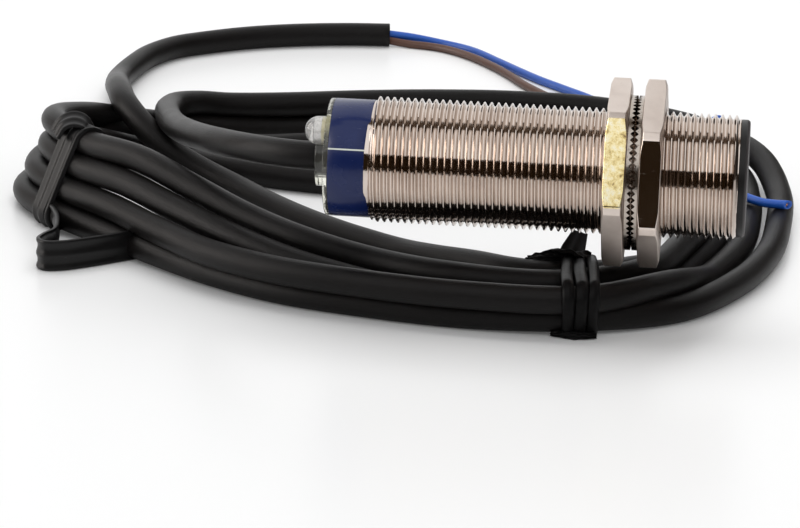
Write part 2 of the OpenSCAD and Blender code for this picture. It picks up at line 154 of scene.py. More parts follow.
# %% A tree that takes nodes
class Nodes:
    """Adds nodes to one tree."""

    def __init__(self, tree):
        self.tree = tree

    def add(self, kind, settings=None, inputs=None, output=0):
        """One output of a new node; a ramp's stops are among its settings."""
        node = self.tree.nodes.new(kind)
        for name, value in (settings or {}).items():
            if name == "stops":
                self.fill_ramp(node.color_ramp, value)
            else:
                setattr(node, name, value)
        for name, value in (inputs or {}).items():
            if isinstance(value, Value):
                self.tree.links.new(value.socket, node.inputs[name])
            else:
                node.inputs[name].default_value = value
        return Value(self, node.outputs[output]) if node.outputs else node

    def math(self, operation, *values):
        return self.add("ShaderNodeMath", {"operation": operation}, dict(enumerate(values)))

    @staticmethod
    def fill_ramp(ramp, stops):
        while len(ramp.elements) < len(stops):
            ramp.elements.new(0.5)
        for element, (place, colour) in zip(ramp.elements, stops):
            element.position, element.color = place, (*colour, 1)

    def mix(self, factor, a, b):
        """Colour a where factor is 0, colour b where it is 1."""
        a, b = (c if isinstance(c, Value) else (*c, 1) for c in (a, b))
        return self.add("ShaderNodeMix", {"data_type": "RGBA"}, {0: factor, 6: a, 7: b}, 2)

    def object_point(self):
        return self.add("ShaderNodeTexCoord", output=3)

    def noise(self, scale, detail=3.0, roughness=0.5, vector=None, stretch=None):
        """Noise of the given scale per metre on the object's own coordinates, or on vector."""
        point = vector or self.object_point()
        if stretch:
            point = self.add("ShaderNodeVectorMath", {"operation": "MULTIPLY"},
                             {0: point, 1: stretch})
        return self.add("ShaderNodeTexNoise", {},
                        {"Vector": point, "Scale": scale, "Detail": detail, "Roughness": roughness})

    def clamp(self, value, low, high):
        """0 below low, 1 above high, and a straight slope between them."""
        return self.add("ShaderNodeMapRange", {"clamp": True}, {0: value, 1: low, 2: high})

    def bump(self, height, distance):
        """Bump from a height of 0 to 1 that stands distance metres high."""
        return self.add("ShaderNodeBump", {},
                        {"Height": height, "Distance": distance, "Strength": 1.0})


print("other nodes:", [name for name in vars(Nodes) if name[0] != "_"])


# %% A finish
def finish(name, build, **fixed):
    """A material whose Principled sockets are fixed numbers or what build(nodes) returns."""
    material = bpy.data.materials.new(name)
    material.use_nodes = True
    nodes = Nodes(material.node_tree)
    shader = material.node_tree.nodes["Principled BSDF"]
    for socket, value in {**fixed, **build(nodes)}.items():
        socket = socket.replace("_", " ")
        if isinstance(value, Value):
            material.node_tree.links.new(value.socket, shader.inputs[socket])
        else:
            shader.inputs[socket].default_value = (*value, 1) if isinstance(value, tuple) else value
    return material


def mottled(scale, detail, dark, light, gloss, spread, depth):
    """A finish that wanders between two tones, a little rougher and higher where it is lighter."""
    def build(nodes):
        patch = nodes.noise(scale, detail)
        return {"Base_Color": nodes.mix(patch, dark, light), "Roughness": gloss + patch * spread,
                "Normal": nodes.bump(patch, depth)}
    return build


print("finishes are functions of their nodes")

# %% [markdown]
# ## Meshes from rings of points
# Most pieces here are a shape carried along a path: a cable, a core, a ribbon, a turned cap. One
# helper joins a list of rings into a mesh, closes its ends, and can write a UV map that holds the
# distance along the path and the way round it, so that a pattern follows the piece.


# %% Mesh helpers
@contextmanager
def edited(mesh):
    """The mesh opened for editing. What was done is written back at the end."""
    work = bmesh.new()
    work.from_mesh(mesh)
    yield work
    work.to_mesh(mesh)
    work.free()


def new_object(name, mesh, material, body, slot, *replaced):
    """Links a finished mesh with its material, hangs it on its body and hides the nodes it replaces.
    """
    if not mesh.materials:
        mesh.materials.append(material)
    piece = linked(name, mesh)
    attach(piece, body)
    if replaced:
        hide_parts(*replaced)
    return piece


def rings_to_mesh(name, rings, closed_path=False, caps=True, lengths=None):
    """A mesh through rings of equal size. lengths, one a ring, fills the UV map's U in metres."""
    rings = np.asarray(rings, float)
    count, around = rings.shape[:2]
    mesh = bpy.data.meshes.new(name)
    with edited(mesh) as work:
        rows = [[work.verts.new(p) for p in ring] for ring in rings]
        uv = work.loops.layers.uv.new("path")
        for i in range(count if closed_path else count - 1):
            a, b = rows[i], rows[(i + 1) % count]
            for k in range(around):
                face = work.faces.new((a[k], a[(k + 1) % around], b[(k + 1) % around], b[k]))
                face.smooth = True
                if lengths is not None:
                    places = ((i, k), (i, k + 1), (i + 1, k + 1), (i + 1, k))
                    for loop, (row, turn) in zip(face.loops, places):
                        loop[uv].uv = (lengths[row], turn / around)
        if caps and not closed_path:
            work.faces.new(rows[0][::-1])
            work.faces.new(rows[-1])
        bmesh.ops.recalc_face_normals(work, faces=work.faces)
    return mesh


print("meshes grow from rings")

# %% [markdown]
# ## The route of the cable
# About 1.8 m of cable leaves the rear cap, bends back, makes four turns and then a fifth across the
# inside of the coil, and ends in a free length whose jacket is cut off. The stretches that aren't
# coiled follow listed points. The turns are worked out by a loop: the coil has one outer
# radius for each direction, and in each direction every turn has its own lane, so many millimetres
# inwards and so high over the floor. A smooth curve through all of it is the cable's centreline.

# %% Points of the route
CABLE_D, CORE_D = 4.1, 1.4
FLOOR = -22.3
COIL_CENTRE = (-54.0, 46.0)
TURNS = 4
STEP_ANGLE, FIRST_ANGLE = 15, 150

# x, y, z from the rear cap to the coil
LEAD = [(-58.2, 0, 0), (-62.8, 0, 0), (-67.3, 1.5, -0.2), (-72.3, 6, -1), (-77, 13, -2.4),
        (-82.4, 24, -4.7), (-87.4, 38, -7.6), (-91.2, 52, -10.3), (-94, 65, -12.5),
        (-94.9, 72, -13.5), (-94.3, 77.5, -14.2), (-91.2, 82, -15), (-87, 84.8, -15.8)]

# Outer radius of the coil every 15 degrees, going clockwise from 150 degrees
RADIUS = [52.8, 50.8, 48.6, 47.6, 49.2, 52.8, 57.4, 61.2, 61.2, 59.6, 58.5, 59.3,
          61.4, 63.6, 61.3, 55.3, 50.8, 48.5, 46.6, 46.2, 48.3, 54.0, 59.2, 55.6]

# Angle, then for each turn how far inwards its lane lies and how high its centre is
LANES = [
    (148, None, (8.0, 2.05), (-0.8, 5.6), (6.0, 5.2)),
    (135, None, (14.8, 2.05), (0.0, 3.2), (10.6, 2.5)),
    (120, (0, 6.15), (15.8, 2.05), (0, 2.05), (11.0, 2.05)),
    (90, (0, 6.15), (15.5, 2.05), (0, 2.05), (11.0, 2.05)),
    (60, (0, 6.15), (15.0, 2.05), (0, 2.05), (10.0, 2.05)),
    (30, (-1.2, 4.9), (14.0, 2.4), (2.2, 2.05), (9.3, 2.05)),
    (15, (-0.7, 2.9), (12.6, 4.6), (4.2, 2.05), (9.0, 2.05)),
    (0, (0, 2.05), (11.2, 5.6), (4.7, 2.05), (9.0, 2.05)),
    (-30, (0, 2.05), (10.0, 5.9), (4.8, 2.05), (9.2, 2.05)),
    (-45, (0, 2.05), (7.2, 5.9), (2.2, 5.2), (5.4, 2.05)),
    (-60, (0, 2.45), (6.0, 5.7), (-2.1, 5.7), (4.3, 2.45)),
    (-75, (0, 2.05), (6.9, 5.7), (-2.1, 5.6), (4.6, 2.05)),
    (-90, (0, 2.05), (9.2, 5.7), (-2.0, 5.6), (4.6, 3.6)),
    (-120, (0, 2.05), (7.6, 9.0), (-1.9, 5.7), (3.6, 6.9)),
    (-150, (0, 2.25), (5.2, 13.4), (0.8, 6.2), (3.0, 9.8)),
    (-165, (0, 2.25), (4.8, 13.2), (1.7, 6.0), (3.3, 9.7)),
    (-180, (0, 2.05), (4.4, 13.1), (1.8, 5.75), None),
    (-195, (0.4, 2.05), (1.6, 10.3), (0.6, 6.0), None),
    (-204, (3.6, 2.05), (-0.4, 8.4), (4.2, 6.0), None),
]

# x, y and height over the floor, which is left out where a point rests on it: the fifth turn, the
# place under the right tie, the free end, and the two cores
CHORD = [(-109.2, 46, 9.4), (-105.5, 54, 8), (-99, 61.3, 4.8), (-91, 63.8, 2.5), (-81.4, 60.9),
         (-71.5, 58.2), (-58, 57), (-45, 58.5), (-31, 61), (-20, 58.5), (-13.4, 52.5), (-10.2, 44),
         (-9.5, 35), (-10.5, 27.5), (-12.8, 20.3, 2.6), (-16.5, 11.8, 4.2), (-21.5, 5.4, 5.2)]
TIED = [(-27.5, 3.4, 5.35)]
TAIL = [(-33.2, 5, 5.1), (-39.1, 9.4, 4.5), (-46, 15.6, 3.2), (-51.5, 21.2, 2.2), (-61.2, 29),
        (-68.6, 36.2), (-74.6, 43, 2.1), (-80.5, 49.4, 2.6), (-86, 53.2, 3.8), (-90, 55, 5.3),
        (-93.8, 56.8, 7.3), (-97.4, 59.4, 9.6), (-100.6, 63.8, 11.4), (-102.8, 71, 11.6),
        (-104.9, 81, 9.8), (-107.4, 95.8, 6), (-109.4, 107, 3.5), (-110.3, 115, 2.2), (-109.7, 123),
        (-108, 132), (-104.7, 139), (-100.7, 143), (-92.6, 149), (-84, 153), (-75, 155.5),
        (-68, 156.5)]
BLUE = [(-68.3, 156.9, 2.1), (-64, 157.4, 1.6), (-58.5, 157.2, 0.8), (-53, 153.6), (-47, 145.6),
        (-42.8, 139.6), (-38.8, 134.2), (-34.5, 129.2), (-30, 124), (-25.5, 118), (-20.5, 110.5),
        (-15.5, 103.8), (-10.8, 98.2, 0.9), (-7.2, 93.8, 2.6), (-5.8, 89.6, 6), (-6.4, 86, 8.1),
        (-8.4, 82, 7.4), (-10.4, 77, 5.6), (-10.2, 71, 5.1), (-9, 66, 5.1), (-6.8, 61, 5.3),
        (-3.5, 54.5, 5.2), (-0.9, 51.5, 5), (2.3, 49.3, 4.8), (5.9, 48.9, 4.8)]
BROWN = [(-68.3, 156.1, 1.1), (-64, 155.6), (-58.5, 154), (-53.2, 149.6), (-47.6, 142),
         (-44.3, 136.3), (-41.2, 130.2), (-37, 123.6), (-32.6, 117.6), (-29.8, 112), (-30.6, 106.6),
         (-35.5, 103.4), (-43.5, 102.4), (-54, 101.6), (-65, 100.4), (-75, 97.8)]

print("turns:", TURNS, "and points by hand:", sum(map(len, (LEAD, CHORD, TIED, TAIL, BLUE, BROWN))))


# %% Curves through the points
def over_floor(points, resting=0.0):
    """The points in the frame's own coordinates. One without a height rests on the floor."""
    return [(x, y, FLOOR + (height[0] if height else resting)) for x, y, *height in points]


def blend_cubic(a, b, c, d, u):
    """A smooth step from b to c that looks at the values before and after them."""
    return 0.5 * (2 * b + (c - a) * u + (2 * a - 5 * b + 4 * c - d) * u**2
                  + (3 * b - 3 * c + d - a) * u**3)


def outer_radius(angle):
    place = (FIRST_ANGLE - angle) % 360 / STEP_ANGLE
    i = int(place)
    near = [RADIUS[(i + k) % len(RADIUS)] for k in (-1, 0, 1, 2)]
    return blend_cubic(*near, place - i)


def coil_points():
    """Centre of the cable every 15 degrees of its four turns."""
    known = [(360 * turn - row[0], *row[turn + 1])
             for turn in range(TURNS) for row in LANES if row[turn + 1] is not None]
    travel, inward, height = zip(*known)
    points = []
    for t in range(round(travel[0]), round(travel[-1]) + 1, STEP_ANGLE):
        reach = outer_radius(-t) - np.interp(t, travel, inward)
        turn = math.radians(-t)
        points.append((COIL_CENTRE[0] + reach * math.cos(turn),
                       COIL_CENTRE[1] + reach * math.sin(turn),
                       FLOOR + np.interp(t, travel, height)))
    return points


def between(a, b, start, end, t):
    """The point that is a at start and b at end."""
    return (a * (end - t) + b * (t - start)) / (end - start)


def travelled(path):
    """How far along the path each of its points lies."""
    return np.r_[0, np.cumsum(np.linalg.norm(np.diff(path, axis=0), axis=1))]


FINE_STEPS = 12


def smooth_path(points, step):
    """An even centripetal curve through the points, one point about every step millimetres."""
    p = np.array(points, float)
    p = np.vstack([2 * p[0] - p[1], p, 2 * p[-1] - p[-2]])
    fine = []
    for a, b, c, d in zip(p, p[1:], p[2:], p[3:]):
        gaps = [max(np.linalg.norm(q - r), 1e-6) ** 0.5 for q, r in ((b, a), (c, b), (d, c))]
        t0, t1 = 0.0, gaps[0]
        t2, t3 = t1 + gaps[1], t1 + gaps[1] + gaps[2]
        for k in range(FINE_STEPS):
            t = t1 + (t2 - t1) * k / FINE_STEPS
            bc = between(b, c, t1, t2, t)
            abc = between(between(a, b, t0, t1, t), bc, t0, t2, t)
            bcd = between(bc, between(c, d, t2, t3, t), t1, t3, t)
            fine.append(between(abc, bcd, t1, t2, t))
    fine = np.array(fine + [p[-2]])
    far = travelled(fine)
    even = np.linspace(0, far[-1], max(2, round(far[-1] / step) + 1))
    return np.array([[np.interp(s, far, fine[:, axis]) for axis in range(3)] for s in even])


def lying_path(points, step, diameter):
    """A smooth path that nowhere sinks into the floor."""
    path = smooth_path(points, step)
    path[:, 2] = np.maximum(path[:, 2], FLOOR + diameter / 2)
    return path


def path_length(path):
    return float(np.linalg.norm(np.diff(path, axis=0), axis=1).sum())


CABLE_STEP, CORE_STEP = 1.5, 0.7   # millimetres from ring to ring
cable_path = lying_path(LEAD + coil_points() + over_floor(CHORD + TIED + TAIL, CABLE_D / 2),
                        CABLE_STEP, CABLE_D)
print("cable centreline", round(path_length(cable_path)), "mm")

# %% [markdown]
# ## Cable, cores and their finish
# Each cord is a tube along its path. The frame that turns with the path is carried from ring to
# ring, so the tube never twists. The jacket is soft PVC: black, satin, with fine lines drawn along
# it by the die and a little dust. The cores are smoother and have a cut end with bare copper. A
# bevelled curve would give the round tube too, but not the cut end with its recess and its slant.

# %% Tubes along a path
def unit(vector):
    return np.array(vector, float) / np.linalg.norm(vector)


def carried_frames(path):
    """Tangent, side and up at each point, turned as little as possible from one to the next."""
    tangent = np.gradient(path, axis=0)
    tangent /= np.linalg.norm(tangent, axis=1)[:, None]
    up = np.array([0, 0, 1.0])
    frames = []
    for t in tangent:
        up = unit(up - t * up.dot(t))
        frames.append((t, np.cross(up, t), up))
    return frames


RIM, LIP = 0.06, 0.04   # bevels of the cut end, outside and inside


def tube_mesh(name, path, radius, around, wall, recess, slant=0.0):
    """A tube along a path. Its far end is cut, square or aslant, round a recessed middle."""
    turn = np.linspace(0, 2 * math.pi, around, endpoint=False)
    frames = carried_frames(path)
    lengths = list(travelled(path) * MM)
    stations = [(p, frame, radius) for p, frame in zip(path, frames)]
    end, (ahead, _, _) = path[-1], frames[-1]
    stations[-1] = (end - ahead * RIM, frames[-1], radius)
    inner = radius - wall
    for back, r in ((0, radius - RIM), (0, inner + LIP), (LIP, inner), (recess, inner)):
        stations.append((end - ahead * back, frames[-1], r))
        lengths.append(lengths[-1])
    rings = [[p + r * (math.cos(a) * side + math.sin(a) * up) for a in turn]
             for p, (_, side, up), r in stations]
    for ring, (middle, _, _) in list(zip(rings, stations))[-5:]:   # the five rings of the cut
        ring[:] = [q + ahead * slant * (q - middle)[1] for q in ring]
    rings = [[q * MM for q in ring] for ring in rings]
    mesh = rings_to_mesh(name, rings, lengths=lengths)
    mesh.polygons[len(mesh.polygons) - 1].material_index = 1
    mesh.set_sharp_from_angle(angle=math.radians(50))
    return mesh


print("a cut end has a bevel of", RIM, "mm")


# %% Skins of the jacket and the cores
def plastic_skin(colour, gloss, line_depth):
    """Extruded PVC: lines along its UV map, soft blotches of gloss, and fine dust."""
    def build(nodes):
        lines = nodes.noise(6, 2, vector=nodes.add("ShaderNodeUVMap", {"uv_map": "path"}),
                            stretch=(40, 28, 1))
        blotch = nodes.noise(160, 2)
        grit = nodes.noise(5200, 2, 0.7)
        dust = nodes.clamp(nodes.noise(900, 4, 0.7), 0.62, 0.75)
        tint = tuple(min(1, c * 1.7 + 0.008) for c in colour)
        height = lines * 0.7 + grit * 0.3
        return {"Base_Color": nodes.mix(dust * 0.35, colour, tint),
                "Roughness": gloss + blotch * 0.12 + dust * 0.1,
                "Normal": nodes.bump(height, line_depth)}
    return build


BROWN_PVC = (0.085, 0.032, 0.018)
jacket = finish("jacket_pvc", plastic_skin((0.0062, 0.0054, 0.0053), 0.32, 0.00006),
                Specular_IOR_Level=0.16)
blue_skin = finish("blue_core_pvc", plastic_skin((0.010, 0.092, 0.46), 0.28, 0.00003))
brown_skin = finish("brown_core_pvc", plastic_skin(BROWN_PVC, 0.34, 0.00003))


def stranded_copper(nodes):
    """Cut ends of fine copper strands: small bright cells with dark gaps between them."""
    cells = nodes.add("ShaderNodeTexVoronoi", {"feature": "DISTANCE_TO_EDGE"},
                      {"Vector": nodes.object_point(), "Scale": 3600.0})
    strand = nodes.clamp(cells, 0.02, 0.2)
    return {"Base_Color": nodes.mix(strand, (0.02, 0.01, 0.008), (0.72, 0.34, 0.18)),
            "Roughness": 0.5 - strand * 0.2, "Normal": nodes.bump(strand, 0.00004)}


copper_strands = finish("copper_strands", stranded_copper, Metallic=1.0)
print("skins:", jacket.name, blue_skin.name, brown_skin.name, "and", copper_strands.name)


# %% Cords
def make_cord(name, path, diameter, around, material, slot, replaced, wall, recess, slant=0.0):
    """A cord along a path in millimetres, whose far end is cut and shows wall, recess and slant."""
    mesh = tube_mesh(name, path, diameter / 2, around, wall, recess, slant)
    mesh.materials.append(material)
    mesh.materials.append(material if material is jacket else copper_strands)
    piece = new_object(name, mesh, material, "root", slot, *replaced)
    print(name, "is", round(path_length(path)), "mm long and", diameter, "mm thick")
    return piece


cable = make_cord("cable", cable_path, CABLE_D, 24, jacket, "jacket_black",
                  ("cable_lead", "cable_coil", "cable_chord", "cable_tail"), 0.55, 0.5)
CORES = (("core_blue", BLUE, blue_skin, 0.85), ("core_brown", BROWN, brown_skin, 0.2))
for name, route, skin, slant in CORES:   # slant is how much the end is cut aslant
    path = lying_path(over_floor(route, CORE_D / 2), CORE_STEP, CORE_D)
    core = make_cord(name + "_insulation", path, CORE_D, 16, skin, name, (name,), 0.3, 0.45, slant)

# %% [markdown]
# ## Node trees that grow geometry
# A thread, a ring of teeth or a row of ribs follows a rule, so Geometry Nodes make it. The tree is
# built here in code. Its sizes are named inputs of the modifier, and it ends by making the instances
# real and giving them their material. The result is taken out as a plain mesh. What is round but
# doesn't repeat, such as a cap or a ring, is turned from a profile, as on a lathe.


# %% Growing a mesh with Geometry Nodes
def grow(name, sizes, build, material, base=None):
    """The mesh that build(nodes, geometry, *inputs) makes, with one named input for each size."""
    tree = bpy.data.node_groups.new(name, "GeometryNodeTree")
    tree.interface.new_socket("Geometry", in_out="INPUT", socket_type="NodeSocketGeometry")
    names = {}
    for label, value in sizes.items():
        kind = "NodeSocketInt" if isinstance(value, int) else "NodeSocketFloat"
        names[label] = tree.interface.new_socket(label, in_out="INPUT", socket_type=kind).identifier
    tree.interface.new_socket("Geometry", in_out="OUTPUT", socket_type="NodeSocketGeometry")
    nodes = Nodes(tree)
    source = nodes.add("NodeGroupInput")
    shape = build(nodes, source, *(source.other(label) for label in sizes))
    real = nodes.add("GeometryNodeRealizeInstances", {}, {0: shape})
    painted = nodes.add("GeometryNodeSetMaterial", {}, {"Geometry": real, "Material": material})
    nodes.add("NodeGroupOutput", {}, {0: painted})

    holder = linked(name, base or bpy.data.meshes.new(name))
    modifier = holder.modifiers.new(name, "NODES")
    modifier.node_group = tree
    for label, value in sizes.items():
        modifier[names[label]] = value
    evaluated = holder.evaluated_get(bpy.context.evaluated_depsgraph_get())
    mesh = bpy.data.meshes.new_from_object(evaluated)
    holder.modifiers.clear()
    bpy.data.objects.remove(holder)
    mesh.materials.clear()
    mesh.materials.append(material)
    mesh.polygons.foreach_set("material_index", [0] * len(mesh.polygons))
    print(name, "grew", len(mesh.polygons), "faces")
    return mesh


print("grow takes its sizes by name")


# %% Turning a profile
FILLET_STEPS = 4
TOUCHING, NO_LENGTH = 2e-6, 1e-7   # metres


def turned_rings(profile, around, centre=(0, 0)):
    """Rings round the barrel's axis, or one beside it, from (x, radius) pairs in millimetres."""
    turn = np.linspace(0, 2 * math.pi, around, endpoint=False)
    return [[(x * MM, (centre[0] + r * math.cos(a)) * MM, (centre[1] + r * math.sin(a)) * MM)
             for a in turn] for x, r in profile]


def rounded(profile):
    """A closed profile of (x, radius, fillet) corners with each corner rounded by its fillet."""
    points = []
    for i, (x, r, fillet) in enumerate(profile):
        here = np.array([x, r])
        before = np.array(profile[i - 1][:2]) - here
        after = np.array(profile[(i + 1) % len(profile)][:2]) - here
        if not fillet:
            points.append(here)
            continue
        a, b = unit(before), unit(after)
        half = math.acos(max(-1, min(1, a.dot(b)))) / 2
        reach = fillet / math.tan(half)
        middle = here + unit(a + b) * fillet / math.sin(half)
        start, end = here + a * reach - middle, here + b * reach - middle
        for k in range(FILLET_STEPS + 1):
            points.append(middle + unit(start + (end - start) * k / FILLET_STEPS) * fillet)
    return points


def tidy_mesh(mesh, sharp=35):
    """Merges what touches, turns the faces outwards, and keeps edges past an angle sharp."""
    with edited(mesh) as work:
        bmesh.ops.remove_doubles(work, verts=work.verts, dist=TOUCHING)
        bmesh.ops.dissolve_degenerate(work, edges=work.edges, dist=NO_LENGTH)
        bmesh.ops.recalc_face_normals(work, faces=work.faces)
        for face in work.faces:
            face.smooth = True
    mesh.set_sharp_from_angle(angle=math.radians(sharp))
    return mesh


print("a fillet takes", FILLET_STEPS + 1, "points")

# %% [markdown]
# ## Nickel plate
# The barrel and the nuts are brass with a bright nickel plate. Nickel is a little warmer than
# chromium, and it is never quite even: the plate has faint clouds and turning marks run round the
# barrel. One plain metal would look dead close to, so each place differs: the flanks of the thread
# are darker than its crests, as painted shade inside the groove, the nuts are satin, one flat of the
# rear nut is rubbed through to the brass, and the same flat of the front nut is polished, with
# streaks.


# %% Metals
NICKEL = [(0.25, (0.64, 0.55, 0.495)), (0.5, (0.73, 0.64, 0.58)), (0.75, (0.79, 0.705, 0.645))]
TARNISH = (0.42, 0.34, 0.27)


def nickel_plate(lathe_marks, satin=0.0):
    """Bright plate. lathe_marks is how closely its marks lie along each axis, satin its dullness."""
    def build(nodes):
        cloud = nodes.noise(220, 4)
        fine = nodes.noise(2600, 3, 0.6)
        marks = nodes.noise(1, 2, stretch=lathe_marks)
        tone = nodes.add("ShaderNodeValToRGB", {"stops": NICKEL}, {0: cloud})
        return {"Base_Color": nodes.mix(nodes.clamp(fine, 0.62, 0.8) * 0.25, tone, TARNISH),
                "Roughness": 0.035 + satin + cloud * 0.06 + fine * 0.03,
                "Normal": nodes.bump(marks * 0.7 + fine * 0.3, 0.000004 if satin else 0.000012)}
    return build


FLANK_R = 0.0087   # radius half-way down a flank, in metres


def barrel_plate(nodes):
    """Nickel plate, painted darker half-way down the thread's flanks as shade inside the groove."""
    plain = nickel_plate((2400, 60, 60))(nodes)
    point = nodes.object_point()
    radius = (point.part(1) * point.part(1) + point.part(2) * point.part(2)).math("SQRT")
    # painted shade: mid-flank the plate is mixed to dark brown for the dim light inside the groove
    painted_flank_shade = 1 - nodes.clamp((radius - FLANK_R).math("ABSOLUTE"), 0.0001, 0.00028)
    return {**plain, "Base_Color": nodes.mix(painted_flank_shade * 0.45, plain["Base_Color"], (0.27, 0.215, 0.17))}


NUT_SATIN = 0.32
FACET_FROM, FACET_TO = 0.01185, 0.01195   # just inside a flat, which is 12 mm from the axis
FACING_FLAT = 150   # angle of the flat that faces the front on an unturned nut, in degrees
BRASS = [(0.34, (0.20, 0.12, 0.03)), (0.43, (0.74, 0.57, 0.22)), (0.52, (0.98, 0.84, 0.44)),
         (0.68, (1.0, 0.97, 0.78))]


def nut_plate(turn, on_front):
    """Satin nickel plate. on_front changes the finish of the flat that faces the front."""
    angle = math.radians(turn + FACING_FLAT)

    def build(nodes):
        plain = nickel_plate((900, 300, 300), NUT_SATIN)(nodes)
        across = nodes.add("ShaderNodeVectorMath", {"operation": "DOT_PRODUCT"},
                           {0: nodes.object_point(), 1: (0.0, math.cos(angle), math.sin(angle))}, 1)
        return {**plain, **on_front(nodes, plain, nodes.clamp(across, FACET_FROM, FACET_TO))}
    return build


def worn_to_brass(nodes, plain, mask):
    mottle = nodes.add("ShaderNodeValToRGB", {"stops": BRASS}, {0: nodes.noise(900, 8, 0.75)})
    return {"Base_Color": nodes.mix(mask * 0.9, plain["Base_Color"], mottle),
            "Roughness": plain["Roughness"] - mask * 0.28}


def polished_with_streaks(nodes, plain, mask):
    streaks = nodes.clamp(nodes.noise(1, 4, 0.6, stretch=(160, 2300, 2300)), 0.62, 0.72)
    return {"Roughness": plain["Roughness"] - mask * (0.31 - streaks * 0.4)}


barrel_nickel = finish("nickel_barrel", barrel_plate, Metallic=1.0)
nut_nickel = finish("nickel_nut", nut_plate(21.9, polished_with_streaks), Metallic=1.0)
rear_nut_nickel = finish("nickel_nut_worn", nut_plate(8.7, worn_to_brass), Metallic=1.0)
print("metals:", barrel_nickel.name, nut_nickel.name, rear_nut_nickel.name)

# %% [markdown]
# ## The threaded barrel
# The barrel is a brass tube with an M18 by 1 thread over nearly its whole length. A screw modifier
# could turn a tooth profile, and a bump map would only feign one. Here a rule gives every point: a
# grid is rolled into a tube, each row is shifted by its share of a turn, and its radius follows the
# profile of the thread, with its narrow flats on the crests and in the roots. The seam closes
# because a full turn moves a row by one pitch. The front end is chamfered at 45 degrees and the
# rear end runs out more steeply, as a lathe leaves them. The bore and the plain neck are turned.

# %% Barrel
CREST_R, THREAD_DEPTH, PITCH = 9.0, 0.6, 1.0
THREAD_FRONT, THREAD_REAR = -1.2, -53.5
NECK_R, NECK_FRONT, NECK_REAR, BORE_R = 8.35, -54.0, -59.3, 7.6
AROUND, ROWS_A_PITCH = 96, 16
CREST_HALF, ROOT_HALF = 0.07, 0.09   # half the flat of the crest and of the root, in pitches
REAR_SLOPE = 2.5


def thread_tree(nodes, _, crest, depth, pitch, front, rear, around, rows):
    grid = nodes.add("GeometryNodeMeshGrid", {}, {0: 1.0, 1: 1.0, 2: around + 1, 3: rows})
    flat = nodes.add("GeometryNodeInputPosition")
    turn = flat.part(0) + 0.5
    pitches = (flat.part(1) + 0.5) * ((rows - 1) / ROWS_A_PITCH)
    along = front + pitch - (pitches + turn) * pitch
    along = along.math("MINIMUM", front).math("MAXIMUM", rear)
    off_crest = (pitches + 0.5).wave()
    height = nodes.clamp(0.5 - off_crest, ROOT_HALF, 0.5 - CREST_HALF)
    radius = crest - depth * (1 - height)
    to_end = (front - along).math("MINIMUM", (along - rear) * REAR_SLOPE)
    radius = radius.math("MINIMUM", crest - depth + to_end)
    angle = turn * (-2 * math.pi)
    place = nodes.add("ShaderNodeCombineXYZ", {}, {
        0: along, 1: radius * angle.math("COSINE"), 2: radius * angle.math("SINE")})
    moved = nodes.add("GeometryNodeSetPosition", {}, {"Geometry": grid, "Position": place})
    return nodes.add("GeometryNodeMergeByDistance", {}, {"Geometry": moved, "Distance": TOUCHING})


thread = grow("thread", {
    "Crest radius": CREST_R * MM, "Thread depth": THREAD_DEPTH * MM, "Pitch": PITCH * MM,
    "Front end": THREAD_FRONT * MM, "Rear end": THREAD_REAR * MM, "Points around": AROUND,
    "Rows": math.ceil((THREAD_FRONT - THREAD_REAR) / PITCH + 2) * ROWS_A_PITCH + 1,
}, thread_tree, barrel_nickel)
root_r = CREST_R - THREAD_DEPTH
bore = rings_to_mesh("bore", turned_rings([
    (THREAD_FRONT, root_r), (THREAD_FRONT, BORE_R), (NECK_REAR, BORE_R), (NECK_REAR, NECK_R - 0.1),
    (NECK_REAR + 0.1, NECK_R), (NECK_FRONT, NECK_R), (NECK_FRONT, root_r),
    (THREAD_REAR, root_r)], AROUND), caps=False)


def joined(mesh, *parts):
    """The mesh with the parts added to it."""
    with edited(mesh) as work:
        for part in parts:
            work.from_mesh(part)
    return mesh


barrel = new_object("threaded_barrel", tidy_mesh(joined(thread, bore), 50), barrel_nickel, "root",
                    "nickel_barrel", "barrel")
print("barrel", len(barrel.data.polygons), "faces")

# %% [markdown]
# ## Front cap
# The sensing face is a black plastic cap with a slightly raised lip. Its CAD shape is right, so the
# finished cap is a copy of it. A real edge is never quite sharp, and a sharp one catches no light,
# so a bevel softens every edge of the copy. The nuts and the clear parts are finished the same way.


# %% Softened copies of CAD nodes
FLAT_ANGLE = math.radians(0.6)   # triangles that meet at less than this belong to one face


def softened_copy(node, name, material, body, slot, width=0.1, segments=2, limit=28):
    """A copy of a CAD node, merged into whole faces, with its edges rounded by a live bevel."""
    mesh = frame["nodes"][node].data.copy()
    mesh.materials.clear()
    with edited(mesh) as work:
        bmesh.ops.remove_doubles(work, verts=work.verts, dist=TOUCHING)
        bmesh.ops.dissolve_limit(work, angle_limit=FLAT_ANGLE, verts=work.verts, edges=work.edges)
        for face in work.faces:
            face.smooth = True
    piece = new_object(name, mesh, material, body, slot, node)
    bevel = piece.modifiers.new("soft edges", "BEVEL")
    bevel.width, bevel.segments, bevel.angle_limit = width * MM, segments, math.radians(limit)
    bevel.limit_method = "ANGLE"
    weighted = piece.modifiers.new("flat faces", "WEIGHTED_NORMAL")
    weighted.keep_sharp = False
    print(name, "has", len(mesh.polygons), "faces before its edges are softened")


def moulded(colour, gloss):
    """Moulded plastic: a fine grain, slow changes of gloss, a few pale specks of dust."""
    def build(nodes):
        grit = nodes.noise(4200, 3, 0.6)
        slow = nodes.noise(240, 3)
        specks = nodes.clamp(nodes.noise(1500, 2, 0.8), 0.7, 0.78)
        tint = tuple(min(1, c * 1.5 + 0.03) for c in colour)
        return {"Base_Color": nodes.mix(specks * 0.4 + slow * 0.1, colour, tint),
                "Roughness": gloss + slow * 0.14, "Normal": nodes.bump(grit, 0.00002)}
    return build


